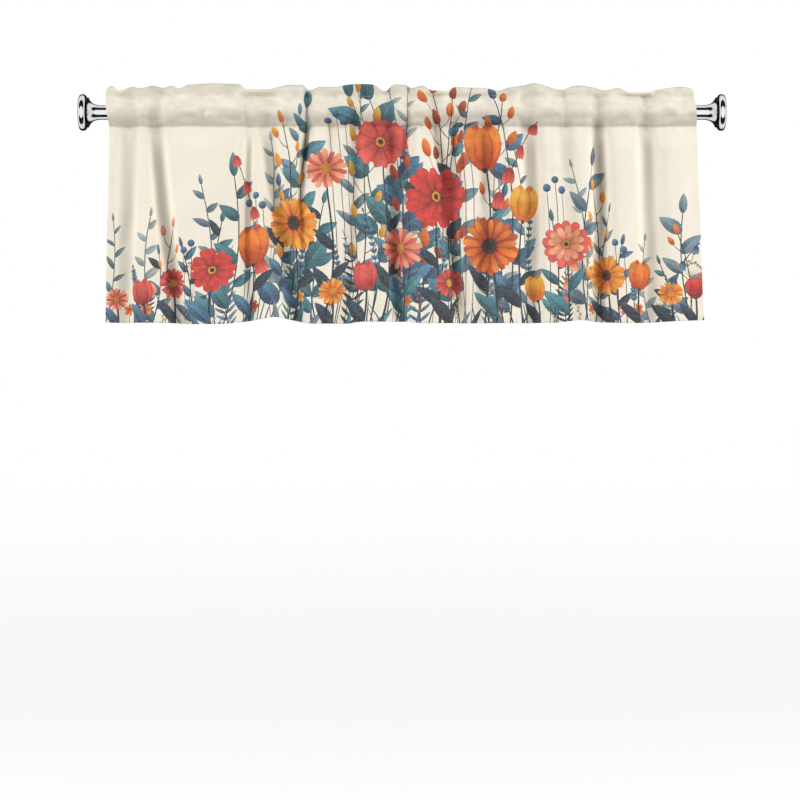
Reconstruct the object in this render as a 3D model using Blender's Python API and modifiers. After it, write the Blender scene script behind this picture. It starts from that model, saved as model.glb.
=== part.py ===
"""A gathered window valance hanging on a chrome curtain rod.

The valance is one sheet of cloth.  Followed from one cut edge to the other it runs up the back of the
rod pocket, over the folded top of the header, down the front of the pocket and the hanging panel, and
round the bottom edge into a turned-up hem.  Two sewn lines press the front and back together above and
below the rod.  Below the lower one the cloth hangs in uneven furrows and ridges, one table row for each.

Metres, +Z up.  The origin is on the rod's axis, midway between the finials.  The front of the cloth
faces -Y and the wall is on the +Y side.

Run with: blender --background --python part.py
"""

import math
from typing import NamedTuple

import bmesh
import bpy
import numpy as np

MM = 0.001
CLEARANCE = 0.3 * MM  # between pieces that touch on the real object

# Rod and finials
ROD_RADIUS = 14 * MM
ROD_WALL = 1.0 * MM
ROD_LENGTH = 1180 * MM
ROD_SIDES = 40
FINIAL_SIDES = 36
FINIAL_NECK_RADIUS = 14.4 * MM
FINIAL_FLARE_RADIUS = 29.6 * MM  # the trumpet's wide rim
FINIAL_FLARE_LENGTH = 20 * MM
FINIAL_FLARE_CURVE = 6.5 * MM  # how soon the trumpet narrows behind its rim
FINIAL_RIM_ROUND = 1.2 * MM
FINIAL_GROOVE_RADIUS = 26 * MM
FINIAL_GROOVE_WIDTH = 3.4 * MM
FINIAL_CAP_RADIUS = 35.5 * MM
FINIAL_CAP_THICKNESS = 14.6 * MM  # at the rim, before the dome
FINIAL_CAP_ROUND = 6.5 * MM
FINIAL_CAP_DOME = 2 * MM
SPIGOT_LENGTH = 22 * MM

# Cloth
CLOTH_THICKNESS = 1.3 * MM
LAYER_GAP = 0.5 * MM  # air left between two sewn layers
UPPER_SEAM = 32 * MM  # height of the stitching between header and pocket
LOWER_SEAM = -26.3 * MM  # height of the stitching under the pocket
HEM_HEIGHT = -409.5 * MM  # the bottom edge, before its own unevenness
HEM_TURN = 26 * MM  # how far the hem is turned up
SEAM_ALLOWANCE = 9 * MM  # raw edge left below the pocket's back
POCKET_AIR = 3 * MM  # between the rod and the nearest cloth
DEEPEST_FURROW = 30 * MM
MEAN_FURROW = 10 * MM  # the depth that hangs straight below the rod's axis
SEAM_SHARE = 0.45  # of each furrow's depth that is left at the lower seam
POCKET_SHARE = 0.36  # and round the front of the pocket
BACK_SHARE = 0.22  # and round its back
HEADER_SHARE = 0.30  # and at the upper seam
FREE_HANG = 0.16  # share of the drop over which a furrow reaches its full depth
COLUMN_WIDTH = 11.6 * MM


class Fold(NamedTuple):
    """A furrow down the hanging cloth, in millimetres.  A negative depth makes it a ridge."""

    name: str
    x_top: float  # place along the rod, at the lower seam
    x_mid: float  # half-way down
    x_hem: float  # at the hem
    deep_top: float
    deep_mid: float
    deep_hem: float
    half_width: float


FOLDS = (
    #    name              x_top  x_mid  x_hem  top   mid   hem  half
    Fold("left_wide",       -529,  -537,  -545,   16,   17,   18,   20),
    Fold("left_deep",       -479,  -461,  -432,   22,   25,   22,   19),
    Fold("left_ridge",      -393,  -392,  -388,   -6,   -6,   -5,   34),
    Fold("left_narrow",     -302,  -304,  -296,   13,   14,   10,   10),
    Fold("left_inner",      -265,  -235,  -202,   22,   27,   24,   18),
    Fold("left_sharp",      -183,  -195,  -170,   22,   12,    0,    9),
    Fold("left_faint",      -136,  -140,  -138,    8,    1,    0,   12),
    Fold("middle_left",      -84,   -95,  -113,   22,   11,    6,   15),
    Fold("middle_crease",    -45,   -49,   -53,    3,    4,    3,    7),
    Fold("middle_deep",      -25,   -10,    -2,   18,   21,   18,   13),
    Fold("middle_line",       16,    10,    34,   14,    4,    0,    8),
    Fold("slanted_deep",      64,   101,   118,   24,   22,   16,   17),
    Fold("slanted_mild",     105,   128,   133,   12,    4,    0,   10),
    Fold("slanted_back",     171,   156,   146,   20,   16,   15,   14),
    Fold("thin_crease",      190,   198,   203,    4,    5,    3,    8),
    Fold("right_inner",      243,   253,   249,   24,   26,   21,   17),
    Fold("right_mild",       317,   327,   339,   12,   10,   10,   16),
    Fold("right_deep",       381,   387,   383,   26,   26,   22,   17),
    Fold("right_ridge",      432,   434,   436,   -5,   -6,   -5,   24),
    Fold("right_wide",       473,   480,   483,   15,   14,   12,   17),
    Fold("right_edge",       531,   533,   534,   -4,   -5,   -6,   26),
)  # fmt: skip


class Crest(NamedTuple):
    """A point of the header's ruffled top edge, in millimetres."""

    x: float
    height: float  # over the rod's axis
    lean: float  # towards the wall, or to the room where it is negative


CRESTS = (
    Crest(-576, 44, 2),
    Crest(-568, 52, 5),
    Crest(-552, 42, -4),
    Crest(-525, 50, 4),
    Crest(-508, 46, -5),
    Crest(-486, 52, 3),
    Crest(-463, 47, -5),
    Crest(-447, 52, 4),
    Crest(-436, 46, -4),
    Crest(-415, 54, 3),
    Crest(-365, 56, -2),
    Crest(-318, 55, 4),
    Crest(-302, 44, -7),
    Crest(-262, 44, -8),
    Crest(-241, 49, 2),
    Crest(-222, 54, 5),
    Crest(-195, 54, 3),
    Crest(-183, 43, -6),
    Crest(-160, 50, 4),
    Crest(-128, 49, -2),
    Crest(-101, 55, 5),
    Crest(-58, 54, -3),
    Crest(-31, 42, 5),
    Crest(-14, 54, -3),
    Crest(4, 54, 4),
    Crest(19, 47, -5),
    Crest(39, 52, 4),
    Crest(60, 42, -6),
    Crest(86, 42, -8),
    Crest(103, 50, -5),
    Crest(128, 49, -9),
    Crest(162, 48, -6),
    Crest(186, 43, 5),
    Crest(210, 48, -3),
    Crest(234, 52, 3),
    Crest(257, 56, -4),
    Crest(281, 51, 4),
    Crest(311, 43, -6),
    Crest(335, 52, 4),
    Crest(370, 48, -4),
    Crest(397, 43, 4),
    Crest(421, 47, -3),
    Crest(444, 38, -7),
    Crest(482, 38, -8),
    Crest(492, 43, 3),
    Crest(515, 46, -4),
    Crest(537, 50, 4),
    Crest(560, 46, -3),
    Crest(568, 43, 2),
)


class EdgeRow(NamedTuple):
    """How far the cloth reaches to each side at one height, in millimetres."""

    z: float
    left: float
    right: float


SIDE_EDGES = (
    EdgeRow(-412, -576, 587),
    EdgeRow(-360, -575, 584),
    EdgeRow(-300, -574, 582),
    EdgeRow(-210, -572, 579),
    EdgeRow(-150, -570, 576),
    EdgeRow(-80, -569, 574),
    EdgeRow(-26, -569, 572),
    EdgeRow(0, -572, 570),
    EdgeRow(32, -576, 567),
    EdgeRow(50, -576, 565),
)


class HemPoint(NamedTuple):
    """A point of the bottom edge, in millimetres."""

    x: float
    z: float


HEM_LINE = (
    HemPoint(-576, -409),
    HemPoint(-440, -410),
    HemPoint(-405, -412),
    HemPoint(-330, -410),
    HemPoint(-284, -404),
    HemPoint(-249, -398),
    HemPoint(-214, -404),
    HemPoint(-170, -411),
    HemPoint(-110, -411),
    HemPoint(-72, -407),
    HemPoint(8, -407),
    HemPoint(34, -410),
    HemPoint(300, -409),
    HemPoint(346, -404),
    HemPoint(386, -408),
    HemPoint(445, -410),
    HemPoint(520, -407),
    HemPoint(587, -404),
)

# Where the sheet's rows of points lie.  The share of a zone runs from 0 to 1 away from the pocket.
PANEL_ROWS = (0.05, 0.12, 0.21, 0.33, 0.47, 0.61, 0.75, 0.88)
POCKET_HEIGHTS = (-15 * MM, 0.0, 14 * MM)
HEADER_ROWS = (0.5,)

# Linear colours of the cloth's ground and of polished chrome
CLOTH_COLOUR = (0.90, 0.83, 0.70, 1.0)
CHROME_COLOUR = (0.80, 0.80, 0.82, 1.0)


def clear_scene():
    for thing in list(bpy.data.objects):
        bpy.data.objects.remove(thing, do_unlink=True)


def make_material(name, colour, roughness, metallic):
    material = bpy.data.materials.new(name)
    material.use_nodes = True
    shader = material.node_tree.nodes["Principled BSDF"]
    shader.inputs["Base Color"].default_value = colour
    shader.inputs["Roughness"].default_value = roughness
    shader.inputs["Metallic"].default_value = metallic
    return material


def mesh_object(name, mesh, collection, material):
    made = bpy.data.objects.new(name, mesh)
    made.data.materials.append(material)
    collection.objects.link(made)
    return made


# ---------------------------------------------------------------- the cloth's shape


def smooth_step(share):
    share = np.clip(share, 0.0, 1.0)
    return share * share * (3 - 2 * share)


def down_the_fold(share, top, middle, hem):
    """The parabola through a fold's three places."""
    return (
        top * (2 * share - 1) * (share - 1)
        + middle * 4 * share * (1 - share)
        + hem * share * (2 * share - 1)
    )


def fold_places(share):
    """Each fold's place along the rod, at this share of the drop."""
    return [down_the_fold(share, f.x_top, f.x_mid, f.x_hem) * MM for f in FOLDS]


def furrow(x, share):
    """How far the cloth falls back from its ridges, eased off towards the deepest furrow."""
    total = np.zeros_like(x)
    for fold, place in zip(FOLDS, fold_places(share)):
        depth = np.interp(share, (0, 0.5, 1), (fold.deep_top, fold.deep_mid, fold.deep_hem))
        total += depth * MM * np.exp(-(((x - place) / (fold.half_width * MM)) ** 2))
    return total / (1 + (total / DEEPEST_FURROW) ** 4) ** 0.25


def side_edges(z):
    heights = [row.z * MM for row in SIDE_EDGES]
    left = np.interp(z, heights, [row.left * MM for row in SIDE_EDGES])
    right = np.interp(z, heights, [row.right * MM for row in SIDE_EDGES])
    return left, right


def hem_height(x):
    return np.interp(x, [p.x * MM for p in HEM_LINE], [p.z * MM for p in HEM_LINE])


def crest_height(x):
    return np.interp(x, [c.x * MM for c in CRESTS], [c.height * MM for c in CRESTS])


def crest_lean(x):
    return np.interp(x, [c.x * MM for c in CRESTS], [c.lean * MM for c in CRESTS])


def columns_between_folds():
    """How many columns of faces lie between one fold line and the next, edges included."""
    left, right = side_edges(LOWER_SEAM)
    lines = [left, *fold_places(0.0), right]
    return [max(2, round((b - a) / COLUMN_WIDTH)) for a, b in zip(lines, lines[1:])]


def column_places(share, z):
    """The x of every column of points.  Columns follow the folds, so that each has a line of its own."""
    left, right = side_edges(z)
    lines = [left, *fold_places(share), right]
    places = []
    for start, end, count in zip(lines, lines[1:], columns_between_folds()):
        places.extend(np.linspace(start, end, count, endpoint=False))
    places.append(right)
    return np.array(places)


def panel_wave(x, share):
    """The hanging panel's distance behind the rod's axis."""
    freedom = SEAM_SHARE + (1 - SEAM_SHARE) * smooth_step(share / FREE_HANG)
    return freedom * (furrow(x, share) - MEAN_FURROW)


def pocket_wave(x, z, side):
    """The pocket's front (side -1) or back (side +1): round the rod, and drawn in to both seams."""
    reach = UPPER_SEAM if z > 0 else -LOWER_SEAM
    wrap = math.cos(0.5 * math.pi * z / reach) if abs(z) < reach else 0.0
    ridges = DEEPEST_FURROW - furrow(x, 0.0)
    share = POCKET_SHARE if side < 0 else BACK_SHARE
    round_rod = side * (ROD_RADIUS + POCKET_AIR + CLOTH_THICKNESS / 2 + share * ridges)
    seam_share = HEADER_SHARE if z > 0 else SEAM_SHARE
    seam = seam_share * (furrow(x, 0.0) - MEAN_FURROW)
    return wrap * round_rod + (1 - wrap) * seam


def header_wave(x, share):
    """The header between the upper seam (share 0) and its top edge (share 1)."""
    seam = HEADER_SHARE * (furrow(x, 0.0) - MEAN_FURROW)
    return (1 - share) * seam + share * crest_lean(x)


def layer_offset(x, wave):
    """Half the distance in Y between two layers that lie against each other on a wave."""
    slope = np.gradient(wave, x)
    return 0.5 * (CLOTH_THICKNESS + LAYER_GAP) * np.sqrt(1 + slope**2)


def panel_row(share, side, lift=0.0):
    """Front (side -1) or turned-up back (side +1) of the hanging panel, with lift above its height."""
    nominal = LOWER_SEAM + share * (HEM_HEIGHT - LOWER_SEAM)
    x = column_places(share, nominal)
    z = LOWER_SEAM + share * (hem_height(x) - LOWER_SEAM) + lift
    wave = panel_wave(x, share)
    return x, wave + (1 + side) * layer_offset(x, wave), z


def pocket_row(z, side):
    x = column_places(0.0, z)
    wave = pocket_wave(x, z, side)
    seam_room = side * layer_offset(x, wave) if side > 0 else 0 * x
    return x, wave + seam_room, np.full_like(x, z)


def seam_row(z, side):
    """A sewn line: both layers follow one wave, the front one on it at the lower seam."""
    x = column_places(0.0, z)
    wave = panel_wave(x, 0.0) if z < 0 else header_wave(x, 0.0)
    shift = (1 + side) if z < 0 else side
    return x, wave + shift * layer_offset(x, wave), np.full_like(x, z)


def header_row(share, side, lift=0.0):
    x = column_places(0.0, UPPER_SEAM + share * 20 * MM)
    z = UPPER_SEAM + share * (crest_height(x) - UPPER_SEAM) + lift
    wave = header_wave(x, share)
    return x, wave + side * layer_offset(x, wave), z


def allowance_row():
    """The raw edge that hangs below the pocket's back."""
    share = SEAM_ALLOWANCE / (LOWER_SEAM - HEM_HEIGHT)
    return panel_row(share, side=1)


def cloth_rows():
    """The sheet from the raw edge behind the pocket, over the header and down to the hem's raw edge."""
    turn = 0.5 * (CLOTH_THICKNESS + LAYER_GAP)
    rows = [allowance_row(), seam_row(LOWER_SEAM, 1)]
    rows += [pocket_row(z, 1) for z in POCKET_HEIGHTS]
    rows += [seam_row(UPPER_SEAM, 1)]
    rows += [header_row(share, 1) for share in HEADER_ROWS]
    rows += [header_row(1, 1, -turn), header_row(1, 0), header_row(1, -1, -turn)]
    rows += [header_row(share, -1) for share in reversed(HEADER_ROWS)]
    rows += [seam_row(UPPER_SEAM, -1)]
    rows += [pocket_row(z, -1) for z in reversed(POCKET_HEIGHTS)]
    rows += [seam_row(LOWER_SEAM, -1)]
    rows += [panel_row(share, -1) for share in PANEL_ROWS]
    rows += [panel_row(1, -1, turn), panel_row(1, 0), panel_row(1, 1, turn)]
    rows += [panel_row(1 - HEM_TURN / (LOWER_SEAM - HEM_HEIGHT), 1)]
    return rows


def make_cloth(collection, material):
    """A flat grid, moved row by row on to the hung shape and given its thickness."""
    rows = cloth_rows()
    columns = len(rows[0][0])
    sheet = bmesh.new()
    bmesh.ops.create_grid(sheet, x_segments=columns - 1, y_segments=len(rows) - 1, size=0.5)
    for vertex in sheet.verts:
        column = round((vertex.co.x + 0.5) * (columns - 1))
        row = round((vertex.co.y + 0.5) * (len(rows) - 1))
        vertex.co = [axis[column] for axis in rows[row]]
    mesh = bpy.data.meshes.new("valance_cloth")
    sheet.to_mesh(mesh)
    sheet.free()
    mesh.shade_smooth()
    cloth = mesh_object("valance_cloth", mesh, collection, material)
    thickness = cloth.modifiers.new("thickness", "SOLIDIFY")
    thickness.thickness = CLOTH_THICKNESS
    thickness.offset = 0.0
    return cloth


# ---------------------------------------------------------------- rod and finials


def turned(name, profile, sides, collection, material):
    """A turned piece: its profile, (radius, height) from the top down its outer side, screwed round Z."""
    mesh = bpy.data.meshes.new(name)
    points = [(radius, 0.0, height) for radius, height in profile]
    mesh.from_pydata(points, [(i, i + 1) for i in range(len(points) - 1)], [])
    made = mesh_object(name, mesh, collection, material)
    screw = made.modifiers.new("turn", "SCREW")
    screw.steps = screw.render_steps = sides
    screw.use_merge_vertices = True
    screw.merge_threshold = 0.00001
    screw.use_smooth_shade = True
    return made


def arc(centre, radius, start, end, count):
    """Points of a profile's round corner, angles in degrees from the profile's outward direction."""
    angles = np.radians(np.linspace(start, end, count))
    return [(centre[0] + radius * math.cos(a), centre[1] + radius * math.sin(a)) for a in angles]


def make_rod(collection, material):
    half = ROD_LENGTH / 2
    bore = ROD_RADIUS - ROD_WALL
    profile = [(bore, half), (ROD_RADIUS, half), (ROD_RADIUS, -half), (bore, -half), (bore, half)]
    rod = turned("rod", profile, ROD_SIDES, collection, material)
    rod.rotation_euler = (0, math.pi / 2, 0)
    return rod


def finial_profile():
    """Cap, groove, trumpet and spigot, from the outer end in.  Height 0 is the rod's end."""
    rim = FINIAL_FLARE_LENGTH
    cap_back = rim + FINIAL_GROOVE_WIDTH
    cap_front = cap_back + FINIAL_CAP_THICKNESS
    flat = FINIAL_CAP_RADIUS - FINIAL_CAP_ROUND
    points = [(0.0, cap_front + FINIAL_CAP_DOME), (0.55 * flat, cap_front + 0.7 * FINIAL_CAP_DOME)]
    points += arc((flat, cap_front - FINIAL_CAP_ROUND), FINIAL_CAP_ROUND, 88, 0, 5)
    points += arc((flat, cap_back + FINIAL_CAP_ROUND), FINIAL_CAP_ROUND, 0, -80, 5)
    points += [(FINIAL_GROOVE_RADIUS, cap_back), (FINIAL_GROOVE_RADIUS, rim)]
    points += [(FINIAL_FLARE_RADIUS - FINIAL_RIM_ROUND, rim), (FINIAL_FLARE_RADIUS, rim - FINIAL_RIM_ROUND)]
    spread = FINIAL_FLARE_RADIUS - FINIAL_NECK_RADIUS
    tail = math.exp(-rim / FINIAL_FLARE_CURVE)
    for back in (2.5 * MM, 4 * MM, 6 * MM, 9 * MM, 13 * MM, rim - CLEARANCE):
        narrowing = (math.exp(-back / FINIAL_FLARE_CURVE) - tail) / (1 - tail)
        points.append((FINIAL_NECK_RADIUS + spread * narrowing, rim - back))
    spigot = ROD_RADIUS - ROD_WALL - CLEARANCE
    points += [(spigot, CLEARANCE), (spigot, -SPIGOT_LENGTH), (0.0, -SPIGOT_LENGTH)]
    return points


def make_finial(name, side, collection, material):
    finial = turned(name, finial_profile(), FINIAL_SIDES, collection, material)
    finial.location = (side * ROD_LENGTH / 2, 0, 0)
    finial.rotation_euler = (0, side * math.pi / 2, 0)
    return finial


def main():
    clear_scene()
    collection = bpy.data.collections.new("window_valance")
    bpy.context.scene.collection.children.link(collection)
    cloth = make_material("printed_cloth", CLOTH_COLOUR, roughness=0.85, metallic=0.0)
    chrome = make_material("chrome", CHROME_COLOUR, roughness=0.08, metallic=1.0)
    make_cloth(collection, cloth)
    make_rod(collection, chrome)
    make_finial("finial_left", -1, collection, chrome)
    make_finial("finial_right", 1, collection, chrome)


main()
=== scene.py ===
# %% [markdown]
# # A gathered window valance on its rod
# A valance is a short curtain across the top of a window.  This one is a single length of printed cloth.
# Its top is folded to the back and sewn along two lines, which leaves a ruffle above them (the header)
# and a tunnel between them (the rod pocket).  A chrome rod with turned ends runs through the pocket.
#
# The solids of the rod, its ends and the hung cloth are already made, at their real size.  This lesson
# dresses them: the cloth is drawn flat, cut out, hung in its folds, and given its weave and its print.

# %% Load the solids
import math
import random
from typing import NamedTuple

import bpy
import numpy as np
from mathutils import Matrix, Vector
from mathutils.geometry import delaunay_2d_cdt


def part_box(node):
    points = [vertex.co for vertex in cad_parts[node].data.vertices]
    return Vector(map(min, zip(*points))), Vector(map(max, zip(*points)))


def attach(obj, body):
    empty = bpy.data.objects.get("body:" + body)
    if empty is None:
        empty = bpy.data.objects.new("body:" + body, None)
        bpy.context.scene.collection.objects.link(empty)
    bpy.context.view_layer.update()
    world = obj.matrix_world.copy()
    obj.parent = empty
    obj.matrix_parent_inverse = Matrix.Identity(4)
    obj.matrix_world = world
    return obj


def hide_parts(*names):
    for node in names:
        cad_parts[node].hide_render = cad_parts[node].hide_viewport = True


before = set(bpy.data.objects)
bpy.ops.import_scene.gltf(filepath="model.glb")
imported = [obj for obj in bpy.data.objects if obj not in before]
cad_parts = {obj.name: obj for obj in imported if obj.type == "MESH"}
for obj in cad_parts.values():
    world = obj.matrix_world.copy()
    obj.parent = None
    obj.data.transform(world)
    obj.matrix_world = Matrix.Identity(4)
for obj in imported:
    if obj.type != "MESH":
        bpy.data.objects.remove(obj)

MM = 0.001
scene = bpy.context.scene
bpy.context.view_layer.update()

# %% [markdown]
# ## The camera
# The valance is seen straight on, as a shopper sees it in a catalogue.  A long lens far away keeps the
# two rod ends the same size.  The lens is worked out from the width of wall that the picture takes in.

# %% Camera
PICTURE_WIDTH = 1556.4 * MM  # of the wall, at the rod
CAMERA_DISTANCE = 5.0
LOOKS_AT = (-3.9 * MM, 0.0, -559.3 * MM)
SENSOR = 36.0  # millimetres, Blender's own unit for lenses

camera_data = bpy.data.cameras.new("camera")
camera_data.sensor_width = SENSOR
camera_data.lens = SENSOR * CAMERA_DISTANCE / PICTURE_WIDTH
camera_data.clip_end = 60
camera = bpy.data.objects.new("camera", camera_data)
camera.location = (LOOKS_AT[0], -CAMERA_DISTANCE, LOOKS_AT[2])
camera.rotation_euler = (math.pi / 2, 0, 0)
scene.collection.objects.link(camera)
scene.camera = camera
print(f"lens {camera_data.lens:.1f} mm")

# %% [markdown]
# ## Building materials in a script
# A node material is a formula.  This helper adds nodes and links them, so that each finish below reads
# as a row of sums.  An input may be a number, a colour, or another node's output.

# %% A helper for node trees
class Recipe:
    """A node tree that is written as a formula."""

    def __init__(self, tree):
        self.tree = tree

    def feed(self, node, values):
        """Fills a node's inputs by name or number."""
        for key, value in values.items():
            if isinstance(value, bpy.types.NodeSocket):
                self.tree.links.new(value, node.inputs[key])
            else:
                node.inputs[key].default_value = value

    def node(self, kind, *inputs, **settings):
        """Adds a node.  Inputs are given in order, or by name or number in one dictionary."""
        made = self.tree.nodes.new(kind)
        for name, value in settings.items():
            setattr(made, name, value)
        self.feed(made, inputs[0] if inputs and isinstance(inputs[0], dict) else dict(enumerate(inputs)))
        return made

    def math(self, operation, *inputs, clamp=False):
        return self.node("ShaderNodeMath", *inputs, operation=operation, use_clamp=clamp).outputs[0]

    def vector_math(self, operation, *inputs):
        return self.node("ShaderNodeVectorMath", *inputs, operation=operation).outputs[0]

    def blend(self, share, first, second, kind="MIX"):
        """Mixes two colours."""
        given = {"Factor": share, 6: first, 7: second}
        return self.node("ShaderNodeMix", given, data_type="RGBA", blend_type=kind).outputs[2]

    def either(self, share, first, second):
        """The first number where share is 0 and the second where it is 1."""
        return self.math("MULTIPLY_ADD", self.math("SUBTRACT", second, first), share, first)

    def between(self, value, low, high, out_low=0.0, out_high=1.0):
        """Maps a number smoothly from one range to another and holds it there."""
        made = self.node("ShaderNodeMapRange", value, low, high, out_low, out_high)
        made.interpolation_type = "SMOOTHSTEP"
        return made.outputs[0]

    def noise(self, vector, scale, detail=2.0):
        given = {"Vector": vector, "Scale": scale, "Detail": detail}
        return self.node("ShaderNodeTexNoise", given).outputs[0]

    def stretched(self, vector, scale):
        return self.vector_math("MULTIPLY", vector, scale)

    def parts(self, vector):
        """The three numbers of a vector."""
        return self.node("ShaderNodeSeparateXYZ", vector).outputs

    def vector(self, x, y, z):
        return self.node("ShaderNodeCombineXYZ", x, y, z).outputs[0]

    def attribute(self, name):
        """What the mesh stores under this name."""
        return self.node("ShaderNodeAttribute", attribute_name=name).outputs["Vector"]

    def own_place(self):
        """Places in the piece's own frame, in metres."""
        return self.node("ShaderNodeTexCoord").outputs["Object"]


def new_material(name):
    """A material, its recipe and its Principled shader."""
    material = bpy.data.materials.new(name)
    material.use_nodes = True
    return material, Recipe(material.node_tree), material.node_tree.nodes["Principled BSDF"]


def linear(hex_colour):
    """A six-figure screen colour as the linear red, green and blue that Blender's shaders use."""
    parts = [int(hex_colour[i : i + 2], 16) / 255 for i in (0, 2, 4)]
    return tuple(p / 12.92 if p <= 0.04045 else ((p + 0.055) / 1.055) ** 2.4 for p in parts)


print("helpers ready")

# %% [markdown]
# ## The studio
# Cloth wants soft light, or its gathers turn hard.  Half of the light comes from a white room, more from
# above than from below.  The rest comes from two wide lamps, one at each side, because light that skims
# across the cloth leaves the furrows dark and so draws the folds.
#
# Chrome has no colour of its own, only the room's.  In a studio, black cards are set round a chrome piece
# to give it its dark lines, so what the metal sees of the room here has dark bands in it.

# %% Floor
FLOOR_HEIGHT = -1.42
FLOOR_RADIUS = 26.0
FLOOR_FADE = 5.0  # metres; the floor melts into the white at an even rate as it is seen from the camera
FLOOR_COLOUR = (0.94, 0.94, 0.94, 1.0)

bpy.ops.mesh.primitive_circle_add(vertices=96, radius=FLOOR_RADIUS, fill_type="NGON")
floor = bpy.context.object
floor.name = "studio_floor"
floor.data.transform(floor.matrix_world)
floor.location = (0, 0, FLOOR_HEIGHT)
floor_finish, recipe, shader = new_material("pale_floor")
recipe.feed(shader, {"Base Color": FLOOR_COLOUR, "Roughness": 0.9})
far = recipe.node("ShaderNodeVectorMath", recipe.own_place(), operation="LENGTH").outputs["Value"]
nearness = recipe.math("DIVIDE", 1.0, recipe.math("ADD", far, FLOOR_FADE))
fade = recipe.between(nearness, 1 / (FLOOR_RADIUS + FLOOR_FADE), 1 / FLOOR_FADE, 1.0, 0.0)
clear = recipe.node("ShaderNodeBsdfTransparent").outputs[0]
melted = recipe.node("ShaderNodeMixShader", fade, shader.outputs[0], clear).outputs[0]
recipe.feed(recipe.tree.nodes["Material Output"], {"Surface": melted})
floor.data.materials.append(floor_finish)
floor.visible_glossy = False
floor.visible_diffuse = False

# %% White room, with dark cards for the chrome
CARD_DEGREES = (31, 37, 75, 83)  # from the camera: where each dark card begins and ends, with soft edges
LOW_CARD_SHIFT = 6  # the card under the camera is this much further down than the upper one is up
BEHIND_DEGREES = (124, 134)  # past these the chrome's own edges see the dark end of the room
ROOM_AROUND = 0.74  # how bright the room is for the cloth, to the sides, above and behind
ROOM_IN_FRONT = 0.14  # and behind the camera, so that the furrows stay dark
ROOM_TILT = 0.42  # how much brighter it is above than at eye level
METAL_SEES = (0.86, 1.06, 0.012)  # the room beyond the cards, the part within them, and the cards
CARD_ENDS = (0.3, 0.55)  # the cards are above and below only, and fade out sideways between these two

world = bpy.data.worlds.new("studio")
world.use_nodes = True
scene.world = world
recipe = Recipe(world.node_tree)
direction = recipe.node("ShaderNodeTexCoord").outputs["Generated"]
side, depth, height = recipe.parts(direction)
toward = recipe.math("MULTIPLY", depth, -1.0)
away = recipe.math("DEGREES", recipe.math("ARCCOSINE", toward))
shifted = recipe.math("MULTIPLY_ADD", recipe.math("LESS_THAN", height, 0.0), -LOW_CARD_SHIFT, away)
inside = recipe.between(shifted, *CARD_DEGREES[:2], 1.0, 0.0)
outside = recipe.between(shifted, *CARD_DEGREES[2:], 0.0, 1.0)
off_axis = recipe.math("SINE", recipe.math("RADIANS", away))
upright = recipe.math("DIVIDE", recipe.math("ABSOLUTE", height), off_axis)
beside = recipe.between(upright, *CARD_ENDS, 1.0, 0.0)
past_cards = recipe.math("MAXIMUM", recipe.math("MAXIMUM", inside, outside), beside)
bands = recipe.math("MULTIPLY", past_cards, recipe.between(away, *BEHIND_DEGREES, 1.0, 0.0))
wall = recipe.either(inside, *METAL_SEES[:2])
seen_by_metal = recipe.either(bands, METAL_SEES[2], wall)
soft_room = recipe.either(recipe.math("MAXIMUM", toward, 0.0), ROOM_AROUND, ROOM_IN_FRONT)
soft_room = recipe.math("MULTIPLY", soft_room, recipe.math("MULTIPLY_ADD", height, ROOM_TILT, 1.0))
ray = recipe.node("ShaderNodeLightPath").outputs
room = recipe.either(ray["Is Glossy Ray"], soft_room, seen_by_metal)
room = recipe.either(ray["Is Camera Ray"], room, 1.0)
recipe.feed(recipe.tree.nodes["Background"], {"Strength": room, "Color": (1, 1, 1, 1)})

# %% Two wide lamps
LAMP_SIZE = (2.6, 4.2)
LAMP_DISTANCE = 6.0
LAMP_TURN = 58  # degrees from the camera's side, to left and right
LAMP_RISE = 8
LAMP_AIM = Vector((0.0, 0.0, -0.2))
LAMP_WATTS = (226, 254)  # left and right; the light comes a little more from the right

for name, turn, watts in (("lamp_left", -LAMP_TURN, LAMP_WATTS[0]), ("lamp_right", LAMP_TURN, LAMP_WATTS[1])):
    lamp_data = bpy.data.lights.new(name, "AREA")
    lamp_data.shape = "RECTANGLE"
    lamp_data.size, lamp_data.size_y = LAMP_SIZE
    lamp_data.energy = watts
    lamp = bpy.data.objects.new(name, lamp_data)
    around, rise = math.radians(turn), math.radians(LAMP_RISE)
    toward = Vector((math.sin(around) * math.cos(rise), -math.cos(around) * math.cos(rise), math.sin(rise)))
    lamp.location = LAMP_AIM + LAMP_DISTANCE * toward
    lamp.rotation_euler = (-toward).to_track_quat("-Z", "Y").to_euler()
    lamp.visible_glossy = False
    scene.collection.objects.link(lamp)
scene.view_settings.view_transform = "Standard"
print("studio ready")

# %% [markdown]
# ## How the cloth hangs
# The cloth is drawn flat first and hung afterwards, because that is how the real one is made: the print
# bends with the cloth, and the gathers take up width.  A point of the flat cloth has two numbers, how far
# it is across from the middle and how far it is up from the bottom fold.  Below zero lies the turned-up
# hem, and past the top of the ruffle the cloth goes down again behind the rod.

# %% The cloth's sizes
ROD_RADIUS = 14 * MM
UPPER_SEAM = 32 * MM  # height of the stitching between ruffle and pocket, from the rod's axis
LOWER_SEAM = -26.3 * MM  # height of the stitching under the pocket
HEM_HEIGHT = -409.5 * MM
CUT_WIDTH = 1290 * MM
HEM_TURN = 26 * MM
DROP = LOWER_SEAM - HEM_HEIGHT
POCKET_FRONT = 74 * MM  # of cloth, round the front of the rod
POCKET_BACK = 67 * MM
RUFFLE = 20 * MM  # of cloth, from the upper seam to the top edge
SEAM_ALLOWANCE = 9 * MM

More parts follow.
